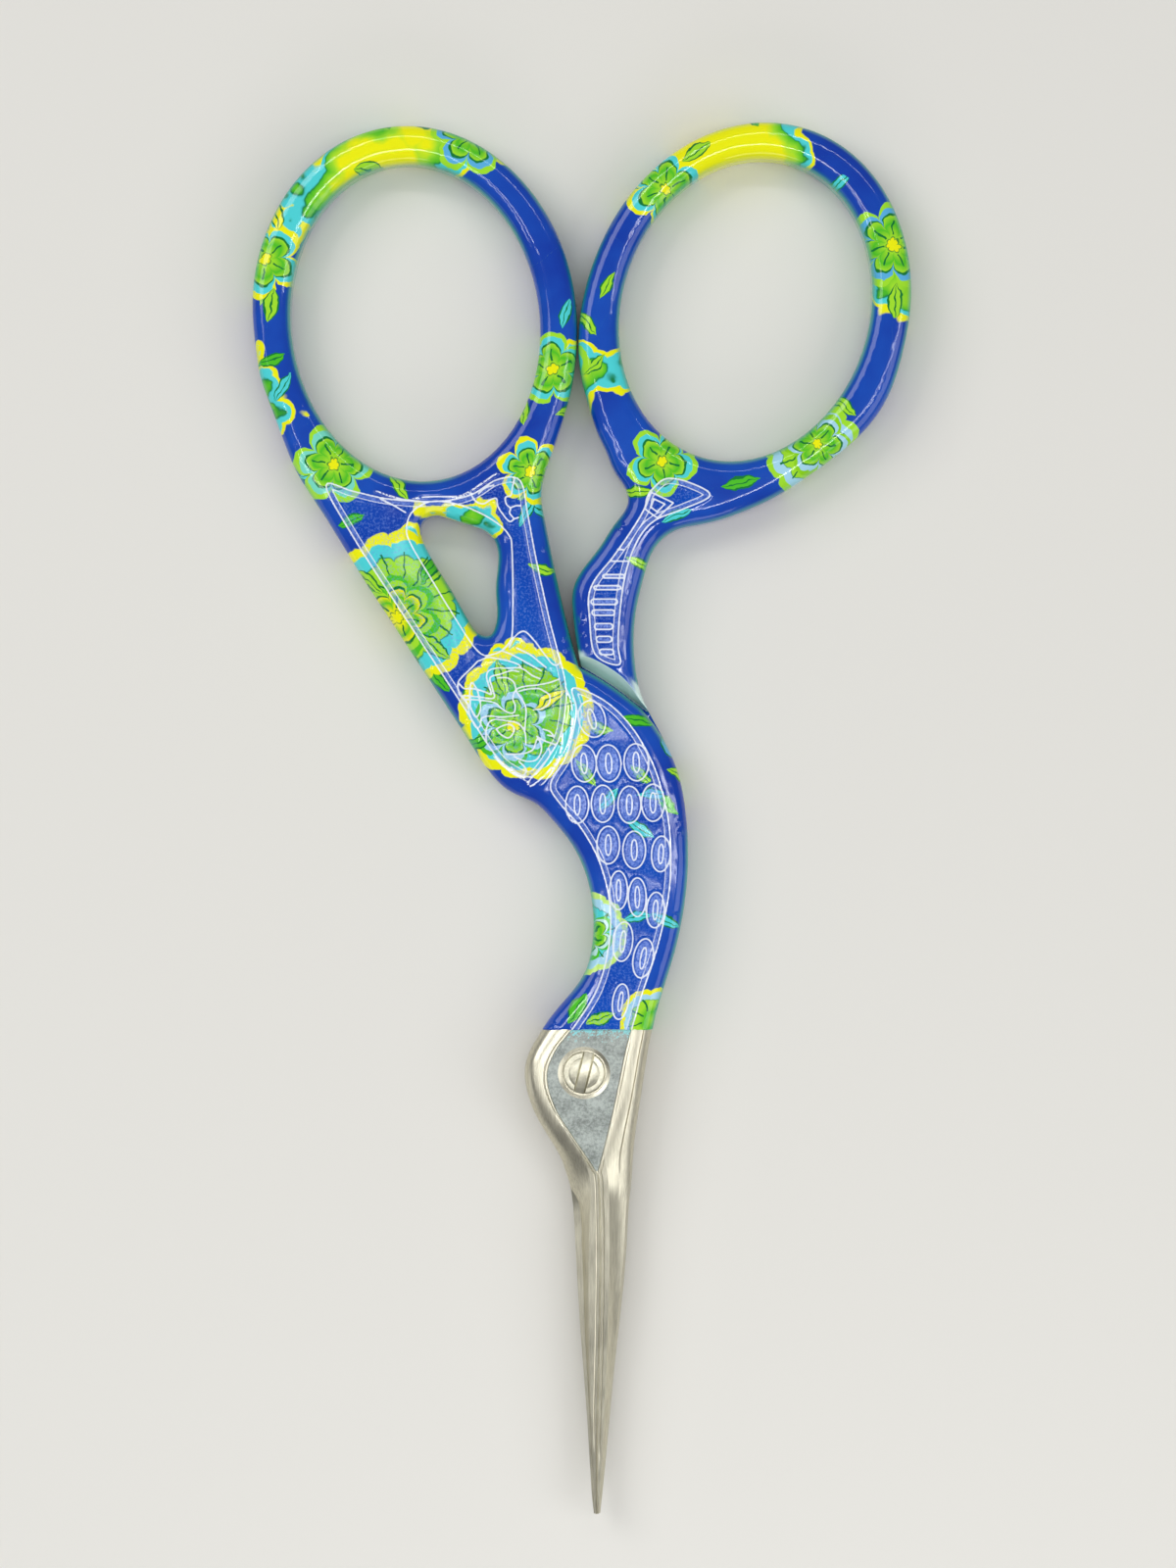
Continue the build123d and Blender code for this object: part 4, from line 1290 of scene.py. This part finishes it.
@dataclass
class SteelHalf:
    """Bare head and blade of one half, drawn through the measured sections."""

    node_name: str
    piece: str
    body: str
    face: Face
    cutting: CuttingSide
    inset: float
    holes: Sequence[Hole]
    first_y: float = -16.95
    spacing: float = 0.3
    panel_depth: float = 0.12
    valley_depth: float = 0.07
    crest_slope: float = 0.05
    crest_tilt: float = 0.1
    rim_groove: float = 0.05
    crease: float = 0.06
    crease_share: float = 0.46
    crease_width: float = 0.05
    bevel_rise: float = 0.35
    sag: float = 0.06
    lean: float = 0.22
    hollow: float = 0.03
    flank_steps: int = 8
    least_gap: float = 0.05
    coat: float = 0.06
    hole_reach: float = 2.6
    crisp_angle: float = 20.0

    def stations(self) -> list[Station]:
        """Draw smooth lines through the measured sections.

        Returns:
            Sections close together, from the coat to the tip.
        """
        known = np.array(STATIONS)[::-1]
        ys = known[:, 0]
        count = int((self.first_y - ys[0]) / self.spacing)
        slopes = np.gradient(known, ys, axis=0)
        made = []
        for y in np.union1d(np.linspace(ys[0], self.first_y, count), ys):
            index = int(np.clip(np.searchsorted(ys, y, side="right") - 1, 0, len(ys) - 2))
            span = ys[index + 1] - ys[index]
            t = (y - ys[index]) / span
            if t > 1.0:
                row = known[-1] + slopes[-1] * (y - ys[-1])
            else:
                row = (
                    known[index] * (2 * t**3 - 3 * t**2 + 1)
                    + slopes[index] * span * (t**3 - 2 * t**2 + t)
                    + known[index + 1] * (3 * t**2 - 2 * t**3)
                    + slopes[index + 1] * span * (t**3 - t**2)
                )
            row[0] = y
            row[9] = np.clip(row[9], 0.0, 1.0)
            made.append(Station(*row))
        return made[::-1]

    def flank(
        self, at: Station, side: float, low: float, ridge: float, top: float, cuts: bool
    ) -> list[Corner]:
        """Lay points from the top of a side wall to the ridge.

        Args:
            at: The section.
            side: Side wall, to the right.
            low: Height of the side wall.
            ridge: Ridge, to the right.
            top: Height of the ridge.
            cuts: Whether this is the side of the cutting edge, with a ground strip and no groove.

        Returns:
            Points in order, the ridge last.
        """
        bevel, crease = (at.bevel, 0.0) if cuts else (0.0, self.crease)
        width = ridge - side
        start = (side + math.copysign(bevel, width), low + self.bevel_rise * bevel)
        steps = self.flank_steps
        shares = [1 - math.cos(step / steps * math.pi / 2) for step in range(1, steps + 1)]
        shares += [self.crease_share + shift for shift in (-self.crease_width, 0.0, self.crease_width)]
        shares.sort()
        points = [Corner(side, low, at.flat < 0.5)]
        for share in shares:
            t = (share - shares[0]) / (1 - shares[0])
            dip = crease if share == self.crease_share else 0.0
            arc = (side + width * share, low + (top - low) * math.sqrt(1 - (1 - share) ** 2) - dip)
            drop = self.sag * math.sin(math.pi * t)
            line = (start[0] + (ridge - start[0]) * t, start[1] + (top - start[1]) * t - drop)
            place = [a * at.flat + b * (1 - at.flat) for a, b in zip(arc, line)]
            near = abs(share - self.crease_share) < 1.2 * self.crease_width
            grooved = crease > 0 and near and at.flat > 0.3
            corner = at.flat < 0.5 and share in (shares[0], shares[-1])
            points.append(Corner(*place, grooved or corner))
        return points

    def section(self, at: Station) -> list[Corner]:
        """Lay out one closed section.

        Args:
            at: The measured section.

        Returns:
            Points round it, to the right and above the lap plane.
        """
        inset = self.inset + self.coat * at.flat
        side = at.side + inset
        far_side = at.far_side - inset
        ridge = max(at.ridge + inset * at.flat, side + 0.02)
        far_ridge = min(at.far_ridge - inset * at.flat, far_side - 0.02)
        gap = LAP_GAP / 2
        cut_left = self.cutting is CuttingSide.LEFT
        left_low, right_low = (at.edge, at.back) if cut_left else (at.back, at.edge)
        lean = self.lean * (1 - at.flat)
        left_lean, right_lean = (0.0, lean) if cut_left else (lean, 0.0)
        panel_left, panel_right = panel_sides(at.y)
        half = max((panel_right - panel_left) / 2, self.least_gap)
        centre = (panel_right + panel_left) / 2 if at.y > PANEL_LEFT[0][0] else at.middle
        share = min(1.0, (half - self.least_gap) / 0.3)
        depth = self.valley_depth + (self.panel_depth - self.valley_depth) * share
        inner_left = max(centre - half, ridge + self.least_gap)
        inner_right = min(centre + half, far_ridge - self.least_gap)
        tilt = self.crest_tilt * (1 - at.flat)
        left_top = at.top - tilt * (inner_left - ridge)
        right_top = at.top - tilt * (far_ridge - inner_right)
        left = self.flank(at, side + left_lean, left_low, ridge, left_top, cut_left)
        right = self.flank(at, far_side - right_lean, right_low, far_ridge, right_top, not cut_left)
        profile = [Corner(side, gap, True), Corner(side + left_lean * 0.5, left_low * 0.6, False)] + left
        slope = self.crest_slope * min(1.0, (inner_right - inner_left) / 0.2)
        profile += self.rim_lines(inner_left, ridge, at.top, tilt)
        for run in (0.0, 0.25, 0.5, 0.75, 1.0):
            across = inner_left + slope + (inner_right - inner_left - 2 * slope) * run
            profile.append(Corner(across, at.top - depth, run in (0.0, 1.0)))
        profile += self.rim_lines(inner_right, far_ridge, at.top, tilt)[::-1]
        profile += right[::-1]
        profile += [Corner(far_side - right_lean * 0.5, right_low * 0.6, False), Corner(far_side, gap, True)]
        for run in (0.25, 0.5, 0.75):
            hollow = self.hollow * (1 - at.flat) * math.sin(math.pi * run)
            profile.append(Corner(far_side + (side - far_side) * run, gap + hollow, False))
        return profile

    def rim_lines(self, inner: float, ridge: float, top: float, tilt: float) -> list[Corner]:
        """Lay the fine groove and crest beside the panel.

        Args:
            inner: Inner edge of the crest, to the right.
            ridge: Ridge, to the right.
            top: Height of the inner edge.
            tilt: Fall of the crest towards the ridge for each mm.

        Returns:
            Points from the ridge to the inner edge.
        """
        width = inner - ridge
        near = math.copysign(min(abs(width), 0.5), width)
        groove = self.rim_groove * float(smooth_step((abs(width) - 0.25) / 0.2))
        corners = []
        for share, dip in ((0.62, 0.0), (0.47, groove), (0.32, 0.0)):
            height = top - tilt * share * abs(near) - dip
            corners.append(Corner(inner - share * near, height, groove > 0.01))
        return corners + [Corner(inner - math.copysign(0.02, width), top, True)]

    def loft(self) -> bmesh.types.BMesh:
        """Extrude the closed section from the coat to the tip.

        Returns:
            The closed shape, its crisp edges marked.
        """
        bm = bmesh.new()
        first, *others = self.stations()
        outline = self.section(first)
        loop = [bm.verts.new() for _ in outline]
        edges = [bm.edges.new((vert, loop[index - 1])) for index, vert in enumerate(loop)]
        ends = list(edges)
        self.place(loop, first.y, outline)
        for at in others:
            made = bmesh.ops.extrude_edge_only(bm, edges=edges)["geom"]
            fresh = {item for item in made if isinstance(item, bmesh.types.BMVert)}
            edges = [item for item in made if isinstance(item, bmesh.types.BMEdge)]
            outline = self.section(at)
            following = []
            for vert, corner in zip(loop, outline):
                rail = next(edge for edge in vert.link_edges if edge.other_vert(vert) in fresh)
                rail.smooth = not corner.sharp
                following.append(rail.other_vert(vert))
            loop = following
            self.place(loop, at.y, outline)
        for edge in ends + edges:
            edge.smooth = False
        bmesh.ops.holes_fill(bm, edges=[edge for edge in bm.edges if edge.is_boundary], sides=0)
        bmesh.ops.recalc_face_normals(bm, faces=bm.faces)
        return bm

    def place(self, loop: Sequence[bmesh.types.BMVert], y: float, outline: Sequence[Corner]) -> None:
        """Put the loop's points on one section."""
        for vert, corner in zip(loop, outline):
            vert.co = (corner.x, y, LAP_PLANE + corner.height * self.face.value)

    def sharpen_holes(self, mesh: Mesh) -> None:
        """Keep the edges of the screw's holes crisp.

        Args:
            mesh: Mesh of the piece in mm.
        """
        bm = bmesh.new()
        bm.from_mesh(mesh)
        for edge in bm.edges:
            middle = (edge.verts[0].co + edge.verts[1].co) / 2
            near = math.dist(middle.xy, PIVOT) < self.hole_reach
            if near and edge.is_manifold and edge.calc_face_angle() > math.radians(self.crisp_angle):
                edge.smooth = False
        bm.to_mesh(mesh)
        bm.free()

    def mark_panel(self, bm: bmesh.types.BMesh) -> None:
        """Give the sunk panel of the head the second finish.

        Args:
            bm: The shape in mm.
        """
        for item in bm.faces:
            middle = item.calc_center_median()
            height = (middle.z - LAP_PLANE) * self.face.value
            left, right = panel_sides(middle.y)
            sunk = 2.0 < height < FACE_HEIGHT - self.coat - self.panel_depth * 0.7
            if sunk and left < middle.x < right and middle.y > PANEL_LEFT[0][0] + 0.2:
                item.material_index = 1

    def build(self) -> Object:
        """Make the head and blade and cut the screw's holes.

        Returns:
            The piece, in metres.
        """
        bm = self.loft()
        self.mark_panel(bm)
        made = finished(bm, self.piece)
        for _ in range(2):
            made.data.materials.append(None)
        cutters = [hole.cutter() for hole in self.holes]
        for cutter in cutters:
            modify(made, "BOOLEAN", operation="DIFFERENCE", solver="EXACT", object=cutter)
        mesh = applied(made, cutters)
        self.sharpen_holes(mesh)
        to_metres(mesh)
        return made

    def dress(self, made: Object, finishes: Sequence[Material]) -> None:
        """Give the piece its finishes and its place in the frame.

        Args:
            made: The piece.
            finishes: The polished steel and the etched steel.
        """
        wear(made, finishes)
        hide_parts(self.node_name)
        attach(made, self.body)


@dataclass
class PivotScrew:
    """Slotted screw with a stepped head, a smooth shoulder and a thread, and the holes it needs."""

    head_radius: float = 1.72
    step_radius: float = 1.2
    step_height: float = 0.05
    head_inset: float = 0.06
    head_height: float = 0.85
    seat_gap: float = 0.02
    seat_radius: float = 1.88
    chamfer_radius: float = 2.42
    chamfer_depth: float = 0.11
    bearing_radius: float = 1.53
    shoulder_radius: float = 1.5
    thread_radius: float = 1.25
    thread_depth: float = 0.2
    thread_hole_radius: float = 1.28
    turns: int = 5
    slot_width: float = 0.7
    slot_depth: float = 0.4
    slot_flare: float = 1.9
    slot_angle: float = 14.0
    edge_round: float = 0.025
    round_angle: float = 50.0
    crisp_angle: float = 35.0

    def head_holes(self) -> list[Hole]:
        """List the bearing, seat and shallow chamfer of the upper half.

        Returns:
            The holes.
        """
        seat = TOP - self.head_inset - self.head_height - self.seat_gap
        floor = TOP - SteelHalf.coat - SteelHalf.panel_depth
        ends = (floor - self.chamfer_depth, floor + self.chamfer_depth)
        return [
            Hole(self.bearing_radius, self.bearing_radius),
            Hole(self.seat_radius, self.seat_radius, seat),
            Hole(self.seat_radius, self.chamfer_radius, *ends),
        ]

    def profile(self) -> list[Point]:
        """Draw the turned outline.

        Returns:
            Radius and height of each point, from the head to the end.
        """
        top = TOP - self.head_inset
        step = top - self.step_height
        seat = top - self.head_height
        lap = LAP_PLANE + LAP_GAP / 2
        root = self.thread_radius - self.thread_depth
        start = lap - 0.1
        end = 0.15
        points = [
            (0.0, top),
            (self.step_radius - 0.04, top),
            (self.step_radius, top - 0.02),
            (self.step_radius + 0.03, step - 0.03),
            (self.step_radius + 0.12, step - 0.04),
            (self.head_radius - 0.16, step - 0.01),
            (self.head_radius - 0.06, step - 0.03),
            (self.head_radius, step - 0.1),
            (self.head_radius, seat),
            (self.shoulder_radius, seat),
            (self.shoulder_radius, lap),
            (root, start),
        ]
        pitch = (start - end) / self.turns
        for turn in range(self.turns):
            points.append((self.thread_radius, start - pitch * (turn + 0.4)))
            points.append((self.thread_radius, start - pitch * (turn + 0.6)))
            points.append((root, start - pitch * (turn + 1)))
        return points + [(root - 0.06, 0.09), (0.0, 0.08)]

    def build(self) -> Object:
        """Turn the outline and saw the slot.

        Returns:
            The piece, in metres.
        """
        bm = bmesh.new()
        verts = [bm.verts.new((PIVOT[0] + radius, PIVOT[1], height)) for radius, height in self.profile()]
        edges = [bm.edges.new(pair) for pair in zip(verts, verts[1:])]
        bmesh.ops.spin(
            bm,
            geom=verts + edges,
            cent=(*PIVOT, 0.0),
            axis=(0.0, 0.0, 1.0),
            angle=math.tau,
            steps=ROUND_STEPS,
            use_merge=True,
        )
        bmesh.ops.remove_doubles(bm, verts=bm.verts, dist=MERGE)
        bmesh.ops.recalc_face_normals(bm, faces=bm.faces)
        made = finished(bm, "slotted_pivot_screw")
        saw = self.slot_cutter()
        modify(made, "BOOLEAN", operation="DIFFERENCE", solver="EXACT", object=saw)
        limit = {"limit_method": "ANGLE", "angle_limit": math.radians(self.round_angle)}
        modify(made, "BEVEL", width=self.edge_round, segments=2, **limit)
        mesh = applied(made, (saw,))
        to_metres(mesh)
        mesh.set_sharp_from_angle(angle=math.radians(self.crisp_angle))
        return made

    def slot_cutter(self) -> Object:
        """Make the saw cut across the head, wider at the top.

        Returns:
            The cutter, in mm.
        """
        bm = bmesh.new()
        bmesh.ops.create_cube(bm, size=1.0)
        size = (self.slot_width, self.head_radius * 4, self.slot_depth * 2)
        bmesh.ops.scale(bm, vec=size, verts=bm.verts)
        for vert in bm.verts:
            if vert.co.z > 0:
                vert.co.x *= self.slot_flare
        bmesh.ops.rotate(bm, verts=bm.verts, matrix=Matrix.Rotation(math.radians(-self.slot_angle), 3, "Z"))
        bmesh.ops.translate(bm, verts=bm.verts, vec=(*PIVOT, TOP - self.head_inset))
        return finished(bm, "slot_cutter")

    def dress(self, made: Object, finishes: Sequence[Material]) -> None:
        """Give the screw its finish and its place in the frame.

        Args:
            made: The screw.
            finishes: The turned steel.
        """
        wear(made, finishes)
        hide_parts("pivot_screw")
        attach(made, "lower_half")


# Floor: matt uncoated paper, even and pale, with no shine.
@dataclass(frozen=True)
class MattPaper(Finish):
    """Plain pale paper."""

    name: str = "matt_paper"
    colour: str = "E6E4DE"

    def sockets(self, tree: Tree) -> dict[str, object]:
        """One even colour."""
        return {"Base Color": linear(self.colour), "Roughness": 0.9}


@dataclass(frozen=True)
class Lamp:
    """A soft area lamp aimed at the scissors, with its place, size and power."""

    name: str
    place: tuple[float, float, float]
    size: Point
    power: float


# a soft key lamp and a fill, and narrow strips that draw lines along rounded edges
LAMPS = (
    Lamp("key", (-330.0, 220.0, 380.0), (320.0, 320.0), 1.0),
    Lamp("fill", (380.0, -120.0, 330.0), (320.0, 320.0), 0.62),
    Lamp("strip_left", (-120.0, -20.0, 420.0), (12.0, 420.0), 0.17),
    Lamp("strip_right", (150.0, 20.0, 400.0), (12.0, 420.0), 0.17),
    Lamp("strip_over", (26.0, 0.0, 500.0), (12.0, 420.0), 0.27),
    Lamp("strip_top", (20.0, 240.0, 380.0), (420.0, 12.0), 0.2),
    Lamp("low_left", (-130.0, -46.0, 22.0), (70.0, 40.0), 0.008),
    Lamp("low_right", (130.0, -46.0, 22.0), (70.0, 40.0), 0.0012),
    Lamp("low_front", (10.0, -160.0, 90.0), (160.0, 60.0), 0.06),
)


@dataclass
class Studio:
    """Pale floor, soft lamps and the camera straight above."""

    middle: Point = (0.506, 2.854)
    camera_height: float = 452.3
    lens: float = 125.0
    sensor: float = 36.0
    floor_size: float = 1200.0
    floor_drop: float = 0.02
    world_colour: str = "E4E6E8"
    world_strength: float = 0.27

    def build(self) -> None:
        """Make the floor, lamps, world and camera."""
        self.lay_floor()
        for lamp in LAMPS:
            self.hang(lamp)
        self.fill_world()
        self.set_camera()

    def lay_floor(self) -> None:
        """Lay the plain floor just under the scissors."""
        bm = bmesh.new()
        lower = Matrix.Translation((0.0, 0.0, -self.floor_drop * MM))
        bmesh.ops.create_grid(bm, x_segments=1, y_segments=1, size=self.floor_size * MM / 2, matrix=lower)
        floor = finished(bm, "floor")
        wear(floor, (MattPaper().make(),))

    def hang(self, lamp: Lamp) -> None:
        """Hang one lamp and aim it.

        Args:
            lamp: The lamp.
        """
        light = bpy.data.lights.new(lamp.name, "AREA")
        light.shape = "RECTANGLE"
        light.size, light.size_y = (side * MM for side in lamp.size)
        light.energy = lamp.power
        made = linked(lamp.name, light)
        made.location = Vector(lamp.place) * MM
        made.visible_camera = False
        aim = Vector((*self.middle, 0.0)) * MM - made.location
        made.rotation_euler = aim.to_track_quat("-Z", "Y").to_euler()

    def fill_world(self) -> None:
        """Light everything softly from all round."""
        world = bpy.data.worlds.new("soft_grey")
        bpy.context.scene.world = world
        world.use_nodes = True
        tree = world.node_tree
        tree.nodes.clear()
        colour = {"Color": linear(self.world_colour), "Strength": self.world_strength}
        node(tree, "OutputWorld", {"Surface": node(tree, "Background", colour)})

    def set_camera(self) -> None:
        """Stand the camera where the photograph was taken from."""
        camera = bpy.data.cameras.new("camera")
        camera.lens = self.lens
        camera.sensor_width = self.sensor
        made = linked("camera", camera)
        made.location = (self.middle[0] * MM, self.middle[1] * MM, self.camera_height * MM)
        bpy.context.scene.camera = made


MOTIFS = (
    Medallion(-14.6, 17.4, 6.4, 15, 0.1),
    Medallion(-4.6, 8.8, 5.6, 13, 0.3, Ink.AQUA, Ink.YELLOW, Ink.GRASS),
    Blossom(-15.2, 16.6, 2.5, 7, 0.2, Ink.LIME, Ink.GREEN, Ink.YELLOW),
    Leaf(-12.2, 14.2, 3.4, 1.3, -40, Ink.LIME),
    Leaf(-12.4, 20.6, 3.2, 1.2, 55, Ink.GREEN),
    Leaf(-17.6, 19.6, 3.0, 1.1, 140, Ink.LIME),
    Blossom(-5.6, 7.6, 2.4, 6, 0.5, Ink.ICE, Ink.GREEN),
    Leaf(-2.6, 9.8, 3.0, 1.2, 30, Ink.YELLOW),
    Leaf(-6.6, 11.6, 3.2, 1.2, 100, Ink.LIME),
    Leaf(-8.6, 6.2, 2.8, 1.1, 200, Ink.GREEN),
    Blossom(-20.4, 29.2, 2.4, 6, 0.1, Ink.JADE, Ink.LIME),
    Blossom(-26.0, 46.0, 2.3, 5, 0.5, Ink.AQUA, Ink.YELLOW),
    Leaf(-25.6, 42.2, 3.0, 1.3, 80, Ink.LIME),
    Leaf(-25.2, 49.8, 3.0, 1.3, 105, Ink.YELLOW),
    Blossom(-9.0, 56.4, 2.5, 6, 0.2, Ink.SKY, Ink.LIME),
    Leaf(-12.8, 57.4, 2.8, 1.2, 175, Ink.GREEN),
    Leaf(-5.2, 54.4, 2.8, 1.2, -40, Ink.LIME),
    Blossom(-2.4, 37.0, 2.2, 5, 0.9, Ink.AQUA, Ink.LIME),
    Blossom(-4.2, 28.6, 2.0, 6, 0.3, Ink.AQUA, Ink.YELLOW),
    Medallion(0.4, -9.4, 3.4, 11, 0.4, Ink.ICE, Ink.SPRING, Ink.AQUA),
    Blossom(0.6, -9.6, 1.5, 6, 0.4, Ink.FOAM, Ink.GREEN),
    Medallion(5.8, -16.6, 2.7, 9, 0.8, Ink.ICE, Ink.YELLOW),
    Leaf(-0.4, -15.6, 3.0, 1.3, 60, Ink.GREEN),
    Leaf(1.6, -16.4, 2.6, 1.1, 20, Ink.LIME),
    Leaf(7.2, 6.0, 2.6, 1.1, 110, Ink.SKY),
    Blossom(6.9, 51.8, 2.4, 6, 0.6, Ink.AQUA, Ink.YELLOW),
    Leaf(9.4, 54.9, 2.8, 1.2, 35, Ink.LIME),
    Blossom(25.6, 47.2, 2.6, 7, 0.2, Ink.SKY, Ink.LIME),
    Leaf(25.8, 42.6, 3.0, 1.3, 85, Ink.LIME),
    Medallion(19.0, 30.4, 4.0, 12, 0.6, Ink.ICE, Ink.LIME),
    Blossom(19.4, 30.8, 2.0, 6, 1.1, Ink.ICE, Ink.GRASS),
    Leaf(13.0, 27.6, 3.2, 1.3, 10, Ink.GREEN),
    Blossom(6.6, 29.4, 2.1, 5, 0.2, Ink.AQUA, Ink.LIME),
)


def main() -> None:
    """Build the scissors piece by piece and report each."""
    bpy.context.scene.view_settings.view_transform = "Standard"
    lacquer = PrintedLacquer(motifs=MOTIFS).make()
    steel = SatinSteel().make()
    etched = EtchedSteel().make()
    turned = SatinSteel("turned_screw_steel", base="D6D3C0", shade="BAB6A2", stretch=(4.0, 4.0, 4.0)).make()

    screw = PivotScrew()
    upper_reliefs = {Face.FRONT: body_relief(BODY_PANEL, tail_relief()), Face.BACK: tail_relief()}
    lower_reliefs = {Face.FRONT: leg_relief(), Face.BACK: body_relief(BACK_PANEL, leg_relief())}
    upper = ("upper_half", "upper_steel", "upper_half", Face.FRONT, CuttingSide.LEFT, 0.0)
    lower = ("lower_half", "lower_steel", "lower_half", Face.BACK, CuttingSide.RIGHT, 0.12)
    thread_hole = Hole(screw.thread_hole_radius, screw.thread_hole_radius)
    for part, finishes in (
        (CoatedHandle("upper_half", "upper_coat", "upper_half", upper_reliefs), [lacquer]),
        (CoatedHandle("lower_half", "lower_coat", "lower_half", lower_reliefs, SHOULDER), [lacquer]),
        (SteelHalf(*upper, screw.head_holes()), [steel, etched]),
        (SteelHalf(*lower, [thread_hole]), [steel, etched]),
        (screw, [turned]),
    ):
        piece = part.build()
        part.dress(piece, finishes)
        log.info("%s: %d faces", piece.name, len(piece.data.polygons))
    Studio().build()


if __name__ == "__main__":
    logging.basicConfig(level=logging.INFO, format="%(name)s %(message)s")
    main()
